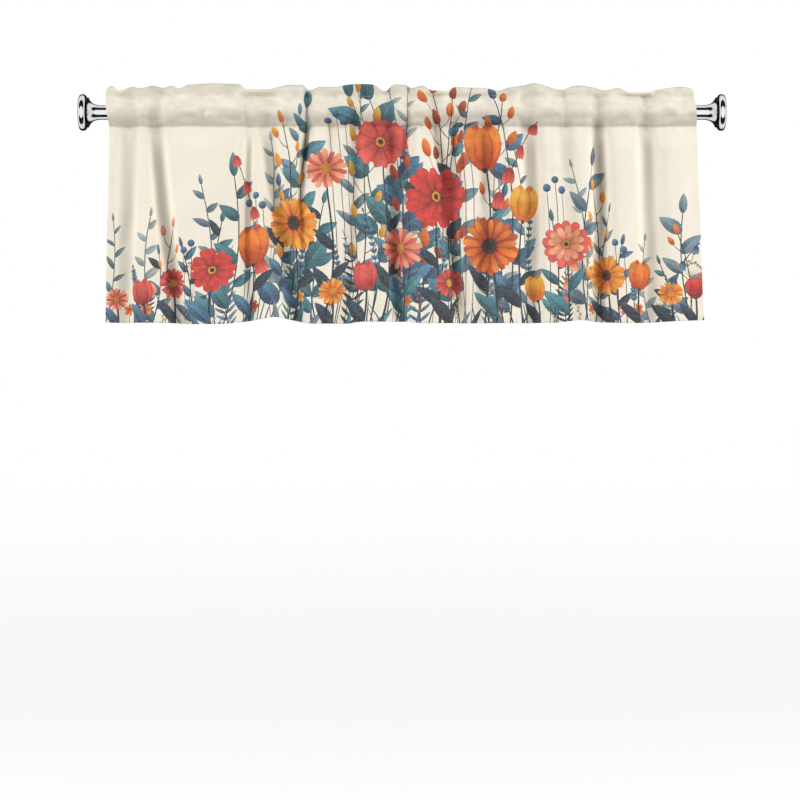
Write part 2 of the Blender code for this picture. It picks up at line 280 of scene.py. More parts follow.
FRONT_LOWER = DROP  # where each line is on the flat cloth, measured up from the bottom fold
FRONT_UPPER = FRONT_LOWER + POCKET_FRONT
TOP_EDGE = FRONT_UPPER + RUFFLE
BACK_UPPER = TOP_EDGE + RUFFLE
BACK_LOWER = BACK_UPPER + POCKET_BACK
CUT_EDGE = BACK_LOWER + SEAM_ALLOWANCE
CUT_LENGTH = HEM_TURN + CUT_EDGE

THICKNESS = 0.7 * MM
LAYER_GAP = 1.0 * MM  # between two sewn layers, so that their small creases hardly meet
POCKET_AIR = 3 * MM  # between the rod and the nearest cloth
AVERAGE_AIR = 2.4 * POCKET_AIR
FULLNESS_BELOW = 0.75  # 1 for a round pocket, less for one that is flatter in front
FULLNESS_ABOVE = 1.2  # and more for one that runs softly into its seam
DEEPEST_FURROW = 30 * MM
MEAN_FURROW = 10 * MM  # the depth that hangs straight below the rod's axis
SEAM_SHARE = 0.58  # of each furrow's depth that is left at the lower seam
POCKET_SHARE = 0.36  # and round the front of the pocket
BACK_SHARE = 0.22  # and round its back
RUFFLE_SHARE = 0.30  # and at the upper seam
FLAT_FLOOR = 2.8  # 2 for a furrow with a round floor, more for one with a flat floor and steeper sides
FREE_HANG = 0.12  # share of the drop over which a furrow reaches its full depth
print(f"cut {CUT_WIDTH:.3f} by {CUT_LENGTH:.3f} m")

# %% [markdown]
# The main folds are given one row each, because no two are alike: some slant, some fade out halfway
# down, one is a thin line.  A furrow is a smooth dent across the cloth, so a row needs only its place and
# depth at the top, the middle and the hem, and its half width.

# %% The folds, one row each
class Fold(NamedTuple):
    """A furrow down the hanging cloth, in millimetres.  A negative depth makes it a ridge."""

    name: str
    x_top: float
    x_mid: float
    x_hem: float
    deep_top: float
    deep_mid: float
    deep_hem: float
    half_width: float


FOLDS = (
    #    name              x_top  x_mid  x_hem  top   mid   hem  half
    Fold("left_wide",       -530,  -537,  -545,   19,   19,   18,   22),
    Fold("left_deep",       -479,  -461,  -432,   22,   25,   22,   19),
    Fold("left_ridge",      -393,  -392,  -388,   -6,   -6,   -5,   34),
    Fold("left_narrow",     -296,  -300,  -296,   12,   13,   10,   11),
    Fold("left_inner",      -264,  -238,  -202,   18,   23,   21,   19),
    Fold("left_sharp",      -183,  -195,  -170,   22,   12,    0,    9),
    Fold("left_faint",      -136,  -140,  -138,    8,    1,    0,   12),
    Fold("middle_left",      -88,   -94,  -112,   18,   13,    8,   13),
    Fold("middle_crease",    -45,   -49,   -53,    3,    4,    3,    7),
    Fold("middle_deep",      -25,   -20,    -4,   17,   20,   18,   16),
    Fold("middle_line",       12,    -6,   -24,   16,    6,    0,   12),
    Fold("slanted_deep",      64,    89,   116,   19,   21,   16,   18),
    Fold("slanted_mild",     100,   106,   112,   15,   10,    2,   12),
    Fold("slanted_back",     163,   162,   148,   16,   15,   15,   17),
    Fold("thin_crease",      190,   198,   203,    4,    5,    3,    8),
    Fold("right_inner",      246,   253,   249,   19,   21,   18,   20),
    Fold("right_mild",       317,   327,   339,   12,   10,   10,   16),
    Fold("right_deep",       381,   387,   383,   26,   26,   22,   17),
    Fold("right_ridge",      432,   434,   436,   -5,   -6,   -5,   24),
    Fold("right_wide",       473,   480,   483,   15,   14,   12,   17),
    Fold("right_edge",       531,   533,   534,   -4,   -5,   -6,   26),
)  # fmt: skip


class Crest(NamedTuple):
    """A point of the ruffle's top edge, in millimetres: its height over the rod's axis, how far it leans
    to the wall, and how far the cloth under it rolls out towards the room."""

    x: float
    height: float
    lean: float
    roll: float


CRESTS = [Crest(*row) for row in (
    # x, height, lean, roll
    (-576, 44, 2, 0), (-568, 52, 5, 1), (-552, 42, -4, 1), (-525, 50, 4, 2),
    (-508, 46, -5, 1), (-486, 52, 3, 2), (-463, 47, -5, 1), (-447, 52, 4, 2),
    (-436, 46, -4, 1), (-415, 54, 3, 2), (-365, 56, -2, 3), (-318, 55, 4, 2),
    (-302, 44, -7, 4), (-262, 44, -8, 6), (-241, 49, 2, 1), (-222, 54, 5, 2),
    (-195, 54, 3, 2), (-183, 43, -6, 0), (-160, 50, 4, 3), (-128, 49, -2, 4),
    (-101, 55, 5, 3), (-58, 54, -3, 2), (-31, 42, 5, 0), (-14, 54, -3, 3),
    (4, 54, 4, 3), (19, 47, -5, 0), (39, 52, 4, 3), (60, 42, -6, 2),
    (86, 42, 4, 6), (103, 50, 6, 7), (128, 49, 7, 7), (162, 48, 5, 6),
    (186, 43, 5, 1), (210, 48, -3, 3), (234, 52, 3, 3), (257, 56, -4, 2),
    (281, 51, 4, 2), (311, 43, -6, 0), (335, 52, 4, 3), (370, 48, -4, 2),
    (397, 43, 4, 1), (421, 47, -3, 2), (444, 38, -7, 6), (482, 38, -8, 6),
    (492, 43, 3, 2), (515, 46, -4, 3), (537, 50, 4, 3), (560, 46, -3, 2),
    (568, 43, 2, 1),
)]  # fmt: skip


class EdgeRow(NamedTuple):
    """How far the cloth reaches to each side at one height, in millimetres."""

    z: float
    left: float
    right: float


SIDE_EDGES = [EdgeRow(*row) for row in (
    (-412, -576, 587), (-360, -575, 584), (-300, -574, 582),
    (-210, -572, 579), (-150, -570, 576), (-80, -569, 574),
    (-26, -569, 572), (0, -572, 570), (32, -576, 567), (50, -576, 565),
)]  # fmt: skip


class HemPoint(NamedTuple):
    """A point of the bottom edge, in millimetres."""

    x: float
    z: float


HEM_LINE = [HemPoint(*row) for row in (
    (-576, -409), (-440, -410), (-405, -412), (-330, -410),
    (-284, -404), (-249, -398), (-214, -404), (-170, -411),
    (-110, -411), (-72, -407), (8, -407), (34, -410),
    (120, -410), (300, -409), (346, -404), (386, -408),
    (445, -410), (520, -407), (587, -404),
)]  # fmt: skip


class Crease(NamedTuple):
    """A short soft dent from one point to another, in millimetres.  A negative depth makes it a pillow."""

    x1: float
    z1: float
    x2: float
    z2: float
    deep: float
    half_width: float


CREASES = [Crease(*row) for row in (
    # x1, z1, x2, z2, deep, half width
    # upright ones that run from the ruffle through the pocket
    (-306, 50, -302, -22, 3.6, 5), (-184, 50, -187, -80, 3.4, 5),
    (-54, 52, -51, -20, 2.6, 4), (14, 52, 9, -110, 3.6, 5),
    (61, 24, 66, -30, 3.6, 7), (190, 34, 186, -24, 4.2, 5),
    (313, 52, 318, -24, 3.2, 5), (-475, 30, -477, -40, 3.0, 8),
    (-528, 40, -532, -30, 2.4, 6), (252, 16, 246, -30, 3.0, 8),
    (381, 24, 381, -44, 3.0, 7), (470, 30, 474, -36, 2.6, 6),
    (-100, 10, -94, -30, 3.0, 8), (-24, 24, -28, -34, 3.0, 7),
    (118, 12, 112, -28, 3.0, 8), (-220, 22, -226, -34, 2.8, 6),
    (-388, 20, -384, -22, 1.8, 7), (544, 20, 538, -30, 2.2, 6),
    # dents along the bottom of the pocket
    (-262, -8, -254, -15, 3.0, 7), (-236, -13, -212, -16, 3.0, 6),
    (-172, -8, -164, -18, 3.4, 7), (-156, -14, -114, -10, 2.8, 6),
    (-42, -14, -34, -19, 3.0, 6), (30, -12, 52, -17, 2.6, 6),
    (80, -16, 104, -13, 2.8, 6), (120, -17, 152, -12, 3.2, 6),
    (206, -14, 232, -17, 2.6, 6), (272, -16, 300, -11, 2.6, 6),
    (-350, -13, -322, -17, 2.6, 6), (-430, -15, -404, -11, 2.6, 6),
    (-505, -12, -488, -17, 2.8, 6), (334, -15, 362, -12, 2.6, 6),
    (402, -12, 436, -16, 2.8, 6), (500, -15, 524, -12, 2.6, 6),
    # pillows of cloth over the rod
    (-280, 6, -278, 2, -2.2, 10), (-240, 8, -236, 2, -2.6, 10),
    (-150, 12, -120, 8, -2.0, 9), (-80, 10, -66, 4, -2.4, 9),
    (-8, 12, -4, 2, -2.2, 9), (34, 14, 44, 8, -2.6, 9),
    (84, 12, 96, 2, -2.6, 9), (140, 14, 164, 8, -2.4, 9),
    (210, 8, 230, 12, -2.2, 9), (282, 12, 296, 4, -2.4, 9),
    (340, 10, 360, 14, -2.2, 9), (404, 8, 440, 12, -2.2, 9),
    (-360, 12, -330, 6, -2.2, 9), (-450, 8, -420, 12, -2.2, 9),
    (500, 12, 520, 6, -2.0, 9), (-510, 8, -496, 12, -2.2, 9),
    # and long soft ones down the panel
    (2, -40, -2, -170, 5.0, 9), (128, -40, 136, -190, 4.0, 9),
    (-140, -30, -143, -130, 4.0, 8), (-108, -60, -120, -300, 3.0, 8),
    (40, -150, 52, -330, 3.0, 9), (206, -150, 214, -380, 2.6, 7),
    (-330, -60, -344, -280, 2.8, 12), (290, -120, 296, -340, 3.0, 10),
    (-504, -60, -500, -300, 3.0, 9), (502, -80, 508, -330, 2.6, 10),
    (-20, -50, -14, -150, 6.0, 14), (66, -40, 90, -150, 7.0, 14),
    (102, -40, 110, -170, 6.0, 12), (152, -40, 156, -170, 5.0, 12),
    (-104, -40, -108, -160, 5.0, 11),
)]  # fmt: skip
print(len(FOLDS), "folds,", len(CREASES), "creases,", len(CRESTS), "points of the ruffle")

# %% [markdown]
# Between the points of a table the cloth runs on smoothly, so the tables are read through a cubic curve
# and not joined by straight lines.

# %% Smooth curves through the tables
def smooth_step(share):
    share = np.clip(share, 0.0, 1.0)
    return share * share * (3 - 2 * share)


def smooth_through(x, points_x, points_y):
    """A curve through the points, with a cubic between each two that doesn't swing out past them."""
    px, py = np.asarray(points_x, float), np.asarray(points_y, float)
    steps = np.abs(np.diff(py) / np.diff(px))
    slope = np.gradient(py, px)
    steepest = 3 * np.minimum(np.append(steps, steps[-1]), np.insert(steps, 0, steps[0]))
    slope = np.clip(slope, -steepest, steepest)
    k = np.clip(np.searchsorted(px, x) - 1, 0, len(px) - 2)
    width = px[k + 1] - px[k]
    t = np.clip((x - px[k]) / width, 0, 1)
    ends = py[k] * (1 + 2 * t) * (1 - t) ** 2 + py[k + 1] * t * t * (3 - 2 * t)
    return ends + width * (slope[k] * t * (1 - t) ** 2 - slope[k + 1] * t * t * (1 - t))


def down_the_fold(share, top, middle, hem):
    """The parabola through a fold's three values."""
    high = top * (2 * share - 1) * (share - 1)
    return high + middle * 4 * share * (1 - share) + hem * share * (2 * share - 1)


def crest(x, column):
    return smooth_through(x, [c.x * MM for c in CRESTS], [getattr(c, column) * MM for c in CRESTS])


def hem_line(x):
    return smooth_through(x, [p.x * MM for p in HEM_LINE], [p.z * MM for p in HEM_LINE])


def side_edges(z):
    heights = [row.z * MM for row in SIDE_EDGES]
    left = smooth_through(z, heights, [row.left * MM for row in SIDE_EDGES])
    right = smooth_through(z, heights, [row.right * MM for row in SIDE_EDGES])
    return left, right


def furrow(x, share):
    """How far the cloth falls back from its ridges, eased off towards the deepest furrow."""
    total = np.zeros(np.broadcast(x, share).shape)
    for f in FOLDS:
        place = down_the_fold(share, f.x_top, f.x_mid, f.x_hem) * MM
        deep = down_the_fold(share, f.deep_top, f.deep_mid, f.deep_hem) * MM
        total += deep * np.exp(-np.abs((x - place) / (f.half_width * MM)) ** FLAT_FLOOR)
    return total / (1 + (total / DEEPEST_FURROW) ** 4) ** 0.25


# %% [markdown]
# A row of stitches through gathered cloth puckers it.  The puckers are small and there are hundreds, so
# they are drawn by a seeded die: the same ones come out every time.  They fade away from the stitching.

# %% Puckers, creases and a faint unevenness
PUCKER_SPACING = 9 * MM
PUCKERED = 580 * MM  # how far the puckers go to each side of the middle
CRUMPLES_REACH = 570  # millimetres to each side
CRUMPLES_HEIGHT = (-24, 50)  # millimetres from the rod's axis, lowest and highest
RIPPLES = (
    # length across and down (mm), depth (mm), phase
    (310, 170, 0.9, 0.4), (190, 260, 0.7, 2.1), (120, 95, 0.45, 4.0), (74, 140, 0.3, 1.1),
)  # fmt: skip
RIPPLES_BEGIN = 0.3  # share of the drop over which they come in


def draw_puckers(seed):
    """Place, depth, half width and reach of each pucker along one seam."""
    die = random.Random(seed)
    count = round(2 * PUCKERED / PUCKER_SPACING)
    rows = []
    for k in range(count):
        place = -PUCKERED + (k + die.random()) * PUCKER_SPACING
        rows.append((place, die.uniform(-0.9, 1.3) * MM, die.uniform(3.2, 7) * MM, die.uniform(9, 30) * MM))
    return np.array(rows)


def draw_crumples(seed, count):
    """Soft dents and pillows on the pocket and the ruffle, too many to place by hand."""
    die = random.Random(seed)
    rows = []
    for k in range(count):
        x = -CRUMPLES_REACH + 2 * CRUMPLES_REACH * (k + die.random()) / count
        z = die.uniform(*CRUMPLES_HEIGHT)
        lean, rise = die.uniform(-10, 10), die.uniform(-9, 9)
        rows.append(Crease(x, z, x + lean, z + rise, die.uniform(-3.0, 3.6), die.uniform(4, 9)))
    return rows


LOWER_PUCKERS = draw_puckers(11)
UPPER_PUCKERS = draw_puckers(12)
CRUMPLES = draw_crumples(13, 150)


def puckered(x, away, rows):
    """The dents at places x, at this distance from the stitching, from the eight nearest puckers."""
    order = np.searchsorted(rows[:, 0], x)
    total = np.zeros_like(x)
    for step in range(-4, 4):
        place, deep, half, reach = rows[np.clip(order + step, 0, len(rows) - 1)].T
        fresh = (order + step >= 0) & (order + step < len(rows))
        total += fresh * deep * np.exp(-(((x - place) / half) ** 2) - (away / reach) ** 2)
    return total


def creased(x, z):
    """All the creases.  Each fades with the distance from the line between its two points."""
    x, z = np.broadcast_arrays(np.asarray(x, float), np.asarray(z, float))
    total = np.zeros(x.shape)
    for c in CREASES + CRUMPLES:
        run_x, run_z = (c.x2 - c.x1) * MM, (c.z2 - c.z1) * MM
        half = c.half_width * MM
        near = np.abs(x - c.x1 * MM - run_x / 2) < abs(run_x) / 2 + 3 * half
        from_x, from_z = x[near] - c.x1 * MM, z[near] - c.z1 * MM
        share = np.clip((from_x * run_x + from_z * run_z) / (run_x**2 + run_z**2), 0, 1)
        away = (from_x - share * run_x) ** 2 + (from_z - share * run_z) ** 2
        total[near] += c.deep * MM * np.exp(-away / half**2)
    return total


def seam_drift(x, seam):
    """The gathers pull a seam up and down a little.  The upper one (1) drifts more than the lower (0)."""
    long_wave = np.sin(math.tau * x / (88 * MM) + 2.6 * seam)
    short_wave = np.sin(math.tau * x / (47 * MM) + 1.3 + seam)
    return (0.5 + 0.7 * seam) * MM * (long_wave + 0.6 * short_wave)


def ripples(x, z):
    """A slow unevenness all over the hanging cloth."""
    return sum(deep * MM * np.sin(math.tau * (x / (across * MM) + z / (down * MM)) + phase)
               for across, down, deep, phase in RIPPLES)  # fmt: skip


print(len(LOWER_PUCKERS) + len(UPPER_PUCKERS), "puckers")

# %% [markdown]
# Now the shape itself.  Each function gives the distance behind the rod's axis.  The hanging part
# follows its furrows, which are shallower at the seam than lower down.  The pocket goes round the rod
# and is drawn in to both seams.  The ruffle stands up from the upper seam and leans this way and that.

# %% The hanging part, the pocket and the ruffle
def hanging_wave(x, share):
    """The panel under the lower seam, at a share of the drop."""
    freedom = SEAM_SHARE + (1 - SEAM_SHARE) * smooth_step(share / FREE_HANG)
    rippled = smooth_step(share / RIPPLES_BEGIN) * ripples(x, share * DROP)
    loose = rippled + creased(x, LOWER_SEAM - share * DROP)
    return freedom * (furrow(x, share) - MEAN_FURROW) + puckered(x, share * DROP, LOWER_PUCKERS) + loose


def upper_seam_wave(x):
    gathered = RUFFLE_SHARE * (furrow(x, 0.0) - MEAN_FURROW)
    return gathered + puckered(x, 0 * x, UPPER_PUCKERS) + creased(x, UPPER_SEAM)


def wrap_at(z):
    """How far the pocket stands out at a height: 1 level with the rod's axis and 0 at its seams."""
    reach = np.where(z > 0, UPPER_SEAM, -LOWER_SEAM)
    fullness = np.where(z > 0, FULLNESS_ABOVE, FULLNESS_BELOW)
    return np.cos(0.5 * math.pi * np.clip(z / reach, -1, 1)) ** fullness


def pocket_wave(x, z, side):
    """The pocket's front (side -1) or back (side +1)."""
    wrap = wrap_at(z)
    ridges = DEEPEST_FURROW - furrow(x, 0.0)
    share = np.where(side < 0, POCKET_SHARE, BACK_SHARE)
    round_rod = side * (ROD_RADIUS + POCKET_AIR + share * ridges)
    seam_share = np.where(z > 0, RUFFLE_SHARE, SEAM_SHARE)
    seam = seam_share * (furrow(x, 0.0) - MEAN_FURROW)
    dents = puckered(x, z - LOWER_SEAM, LOWER_PUCKERS) + puckered(x, UPPER_SEAM - z, UPPER_PUCKERS)
    dents = dents + np.where(side < 0, 1.0, 1 - wrap) * creased(x, z)
    rod = np.sqrt(np.clip((ROD_RADIUS + THICKNESS) ** 2 - z**2, 0, None))  # the cloth can't go into it
    wave = wrap * round_rod + (1 - wrap) * seam + dents
    return np.where(np.abs(z) < ROD_RADIUS + THICKNESS, side * np.maximum(side * wave, rod), wave)


def ruffle_wave(x, share, side):
    """From the upper seam (share 0) to the top edge (share 1).  Both layers roll out together."""
    lean = (1 - share) * upper_seam_wave(x) + share * (crest(x, "lean") + creased(x, crest(x, "height")))
    return lean - np.sin(math.pi * share) * crest(x, "roll")


def slope_of(wave, x, *rest):
    step = 0.5 * MM
    return (wave(x + step, *rest) - wave(x - step, *rest)) / (2 * step)


def layer_offset(slope):
    """Half the distance between two sewn layers, measured straight back."""
    return 0.5 * (THICKNESS + LAYER_GAP) * np.sqrt(1 + slope**2)


# %% [markdown]
# The last question is how far along the rod a point of the flat cloth ends up.  Cloth doesn't stretch,
# so its width is spent along the wave: a lot of it goes into a deep furrow and little into a flat
# stretch.  For about a hundred heights a table holds how much cloth lies left of each place on the rod,
# and every point is looked up in it.

# %% Where the width of the cloth goes
LEVELS = 97
TABLE_COLUMNS = 1601
POCKET_LEVELS = 121
SETTLED = 0.2  # share of the drop below which the folds are fully open; higher up they are only squeezed


def width_table():
    """For every level of the drop and every share of the cloth's width, the place along the rod."""
    shares = np.linspace(0, 1, LEVELS)
    even = np.linspace(0, 1, TABLE_COLUMNS)
    rows = []
    for share in shares:
        left, right = side_edges(LOWER_SEAM + share * (HEM_HEIGHT - LOWER_SEAM))
        x = left + even * (right - left)
        wave = furrow(x, max(share, SETTLED))
        steps = np.hypot(np.diff(x), np.diff(wave))
        used = np.concatenate([[0], np.cumsum(steps)])
        rows.append(np.interp(even, used / used[-1], even))
    return np.array(rows)


WIDTHS = width_table()


def place_along_rod(across, share, z):
    """The x of flat places across at this share of the drop (0 for pocket and ruffle) and height z."""
    column = np.clip(across / CUT_WIDTH + 0.5, 0, 1) * (TABLE_COLUMNS - 1)
    level = np.clip(share, 0, 1) * (LEVELS - 1)
    c, row = np.minimum(column.astype(int), TABLE_COLUMNS - 2), np.minimum(level.astype(int), LEVELS - 2)
    u, v = column - c, level - row
    upper = WIDTHS[row, c] * (1 - u) + WIDTHS[row, c + 1] * u
    lower = WIDTHS[row + 1, c] * (1 - u) + WIDTHS[row + 1, c + 1] * u
    left, right = side_edges(z)
    return left + (upper * (1 - v) + lower * v) * (right - left)


def pocket_height_table():
    """How much cloth of the pocket lies below each height, for an average fold."""
    z = np.linspace(LOWER_SEAM, UPPER_SEAM, POCKET_LEVELS)
    bulge = (ROD_RADIUS + AVERAGE_AIR) * wrap_at(z)
    used = np.concatenate([[0], np.cumsum(np.hypot(np.diff(z), np.diff(bulge)))])
    return used / used[-1], z


POCKET_USED, POCKET_Z = pocket_height_table()
hem_left, hem_right = side_edges(HEM_HEIGHT)
print(f"{CUT_WIDTH:.3f} m of cloth hangs over {hem_right - hem_left:.3f} m at the hem")

# %% [markdown]
# hang() puts it together.  It takes flat points and gives their places in the room.  A layer that is
# folded to the back lies a little behind the front one, and the two turn into each other round a small
# half circle at the bottom fold and at the top edge.

# %% From flat to hung
FOLD_TURN = 0.9 * MM  # of cloth on each side of a folded edge that makes the turn


def hang(across, up):
    """Places in the room of flat points: across from the middle, up from the bottom fold."""
    across, up = np.broadcast_arrays(np.asarray(across, float), np.asarray(up, float))
    back = up > TOP_EDGE
    down = np.where(back, up - BACK_LOWER, FRONT_LOWER - np.sqrt(up**2 + (0.4 * FOLD_TURN) ** 2))
    share = np.clip(down / DROP, 0, 1)
    rise = np.where(back, (BACK_LOWER - up) / POCKET_BACK, (up - FRONT_LOWER) / POCKET_FRONT)
    ruffle = np.where(back, (BACK_UPPER - up) / RUFFLE, (up - FRONT_UPPER) / RUFFLE)
    top_turn = np.clip((up - TOP_EDGE) / FOLD_TURN, -1, 1)
    hem_turn = np.clip(up / FOLD_TURN, -1, 1)
    turned = np.sin(0.5 * math.pi * top_turn)  # -1 in front, +1 behind

    pocket_z = np.interp(rise, POCKET_USED, POCKET_Z)
    x = place_along_rod(across, share, np.where(rise > 0, pocket_z, LOWER_SEAM - share * DROP))
    hanging = hanging_wave(x, share)
    behind = np.where(back, 2.0, 1 - np.sin(0.5 * math.pi * hem_turn))
    y = hanging + behind * layer_offset(slope_of(hanging_wave, x, share))
    z = LOWER_SEAM + share * (hem_line(x) - LOWER_SEAM) + (1 - share) ** 4 * seam_drift(x, 0)

    in_pocket = (rise > 0) & (ruffle <= 0)
    round_rod = pocket_wave(x, pocket_z, np.where(back, 1, -1))
    seam_slope = slope_of(hanging_wave, x, 0.0 * x)
    shift = np.where(back, 2.0, 0.0) - np.clip(rise, 0, 1)
    y = np.where(in_pocket, round_rod + shift * layer_offset(seam_slope), y)
    drift = seam_drift(x, 0) + np.clip(rise, 0, 1) * (seam_drift(x, 1) - seam_drift(x, 0))
    z = np.where(in_pocket, pocket_z + drift, z)

    in_ruffle = ruffle > 0
    high = np.clip(ruffle, 0, 1)
    seam_slope = slope_of(upper_seam_wave, x)
    y = np.where(in_ruffle, ruffle_wave(x, high, turned) + turned * layer_offset(seam_slope), y)
    seam = UPPER_SEAM + seam_drift(x, 1)
    z = np.where(in_ruffle, seam + high * (crest(x, "height") - seam), z)
    return np.stack([x, y, z], axis=-1)


def facing(across, up):
    """The outward normal of the hung cloth at flat points, on the printed side."""
    step = 0.25 * MM
    over = hang(across + step, up) - hang(across - step, up)
    along = hang(across, up + step) - hang(across, up - step)
    normal = np.cross(over, along)
    return normal / np.linalg.norm(normal, axis=-1, keepdims=True)
# %% [markdown]
# ## The printed border
# The print is a meadow on a cream ground: sprays and flowers tall in the middle and low at both ends.
# It is drawn as a printer would, in flat shapes of ink, one over another.  Each shape remembers where its
# foot is, which way it points and how long and wide it is, so that the ink can later run from a deep tone
# at the foot to a light one at the tip, with veins that follow the petal.

# %% Inks
class Ink(NamedTuple):
    """The deep tone goes at a petal's or leaf's foot, the light one at its tip."""

    deep: tuple
    light: tuple


INKS = {
    "amber": Ink(linear("DB6408"), linear("F6B63A")),
    "gold": Ink(linear("BE7410"), linear("F7C044")),
    "orange": Ink(linear("BE350A"), linear("F48A2C")),
    "rust": Ink(linear("7E2411"), linear("CF5524")),
    "red": Ink(linear("7C0C12"), linear("DA3634")),
    "coral": Ink(linear("A3212A"), linear("EA5F52")),
    "peach": Ink(linear("CF5B3C"), linear("F4AB83")),
    "navy": Ink(linear("091624"), linear("284C68")),
    "blue": Ink(linear("14375A"), linear("5C93B2")),
    "teal": Ink(linear("124A5A"), linear("5BA0AB")),
    "slate": Ink(linear("3A566A"), linear("8DA8B2")),
    "mist": Ink(linear("7C8C90"), linear("BCC7C3")),
    "straw": Ink(linear("96784A"), linear("D9C18D")),
    "seed": Ink(linear("0A060A"), linear("43201F")),
    "bark": Ink(linear("22150F"), linear("5F3D2B")),
}
GROUND_COLOUR = (*linear("F8F0DF"), 1.0)


class Shape(NamedTuple):
    """One patch of ink on the flat cloth."""

    outline: np.ndarray
    foot: np.ndarray
    axis: np.ndarray
    length: float
    width: float
    rise: float  # its half width is share^rise * (1 - share)^fall; 0 marks a round or even shape
    fall: float
    bend: float
    ink: Ink
    style: int


STEM, LEAF, PETAL, EYE, BUD, BERRY = range(1, 7)
dice = random.Random(54)
shapes = []
print(len(INKS), "inks")

# %% [markdown]
# A leaf and a petal are the same thing to a draughtsman: a blade, widest near its foot or near its tip,
# sometimes bent, sometimes notched.  A disc and a tapering stalk are the only other shapes needed.

# %% Blades, discs and stalks
def heading(degrees):
    """A unit vector, with 0 upright and positive angles leaning to the right."""
    angle = math.radians(degrees)
    return np.array([math.sin(angle), math.cos(angle)])


def toned(name):
    """One of the inks, a little lighter or darker, as from a brush."""
    shift = dice.uniform(0.84, 1.14)
    return Ink(*(tuple(min(1.0, part * shift) for part in tone) for tone in INKS[name]))


def widest(rise, fall):
    """The greatest value that share^rise * (1 - share)^fall reaches."""
    return (rise / (rise + fall)) ** rise * (fall / (rise + fall)) ** fall


def blade(foot, degrees, length, width, ink, style, rise=0.7, fall=0.9, bend=0.0, notch=0.0):
    """A leaf, petal or bud.  The notch is a share of its length, cut in from the tip."""
    axis = heading(degrees)
    side = np.array([axis[1], -axis[0]])
    points = int(np.clip(length / (6 * MM), 2, 8))
    share = 0.5 - 0.5 * np.cos(np.linspace(0, math.pi, points + 2))
    half = 0.5 * width * share**rise * (1 - share) ** fall / widest(rise, fall)
    reach = np.where(share < 1, share, 1 - notch)
    spine = np.outer(reach * length, axis) + np.outer(bend * length * share**2, side)
    right = foot + spine + np.outer(half, side)
    left = foot + spine - np.outer(half, side)
    outline = np.vstack([right, left[-2:0:-1]])
    foot = np.asarray(foot, float)
    shapes.append(Shape(outline, foot, axis, length, width, rise, fall, bend, toned(ink), style))


def disc(centre, radius, ink, style=EYE, points=14, squash=1.0):
    turn = np.linspace(0, math.tau, points, endpoint=False)
    centre = np.asarray(centre, float)
    outline = centre + radius * np.column_stack([np.sin(turn), squash * np.cos(turn)])
    shapes.append(Shape(outline, centre, heading(0), radius, 2 * radius, 0, 0, 0, toned(ink), style))


def stem(foot, tip, bend, width, ink, points=7):
    """A stalk that bows sideways and tapers.  Its points and their headings are returned."""
    foot, tip = np.asarray(foot, float), np.asarray(tip, float)
    run = tip - foot
    share = np.linspace(0, 1, points)[:, None]
    line = foot + share * run + 4 * bend * share * (1 - share) * np.array([run[1], -run[0]])
    along = np.gradient(line, axis=0)
    along /= np.linalg.norm(along, axis=1)[:, None]
    side = np.column_stack([along[:, 1], -along[:, 0]])
    half = np.linspace(0.5, 0.32, points)[:, None] * width
    outline = np.vstack([line + side * half, (line - side * half)[::-1]])
    length = float(np.linalg.norm(run))
    shapes.append(Shape(outline, line[0], run / length, length, width, 0, 0, 0, toned(ink), STEM))
    return line, np.degrees(np.arctan2(along[:, 0], along[:, 1]))


def part_way(line, angles, share):
    """The point and heading at a share of a stalk's length."""
    at = np.linspace(0, 1, len(line))
    place = np.array([np.interp(share, at, line[:, 0]), np.interp(share, at, line[:, 1])])
    return place, np.interp(share, at, angles)


# %% [markdown]
# From these come the plants.  Leafy sprays, budding twigs, ferns, hanging bells, spikes and umbels are
# all a stalk with something repeated along it or round its tip.

# %% Foliage
LEAF_LEAN = 42  # degrees from the stalk
BUD_LEAN = 38
LEAFLET_LEAN = 60
FLORET_LEAN = 34
UMBEL_FAN = 120  # degrees from its first stalk to its last


def spray(foot, tip, bend, pairs, leaf, ratio, ink, stalk="navy", shrink=0.5, dark=0.0):
    """Leaves up both sides of a stalk in turn, smaller towards its tip, and now and then a dark one."""
    line, angles = stem(foot, tip, bend, 2.9 * MM, stalk, points=8)
    count = round(1.2 * pairs) + 1
    for k in range(count):
        share = 0.18 + 0.82 * k / count
        at, turn = part_way(line, angles, share)
        side = 1 if k % 2 else -1
        size = 1.34 * leaf * (1 - shrink * share) * dice.uniform(0.82, 1.14)
        own = "navy" if dice.random() < dark else ink
        lean = side * LEAF_LEAN * dice.uniform(0.8, 1.2)
        width = size * ratio * dice.uniform(0.95, 1.2)
        bow = 0.14 * side * dice.uniform(0.2, 1.2)
        blade(at, turn + lean, size, width, own, LEAF, 0.62, 0.95, bow)
    blade(line[-1], angles[-1], leaf * (1 - shrink) * 1.15, leaf * (1 - shrink) * ratio * 1.1, ink, LEAF)


def budding_twig(foot, tip, bend, count, bud, ink):
    """A twig whose side shoots each carry one bud."""
    line, angles = stem(foot, tip, bend, 2.8 * MM, "bark", points=8)
    for k in range(count):
        share = 0.25 + 0.7 * k / count
        at, turn = part_way(line, angles, share)
        side = 1 if k % 2 else -1
        size = bud * dice.uniform(0.8, 1.15)
        out = at + heading(turn + side * BUD_LEAN) * size * 2.0 * (1.1 - 0.5 * share)
        stem(at, out, 0.08 * side, 1.8 * MM, "bark", points=4)
        blade(out, turn + side * dice.uniform(8, 26), size * 1.2, size * 0.62, ink, BUD, 0.55, 0.75)
    blade(line[-1], angles[-1], bud * 1.2, bud * 0.62, ink, BUD, 0.55, 0.75)


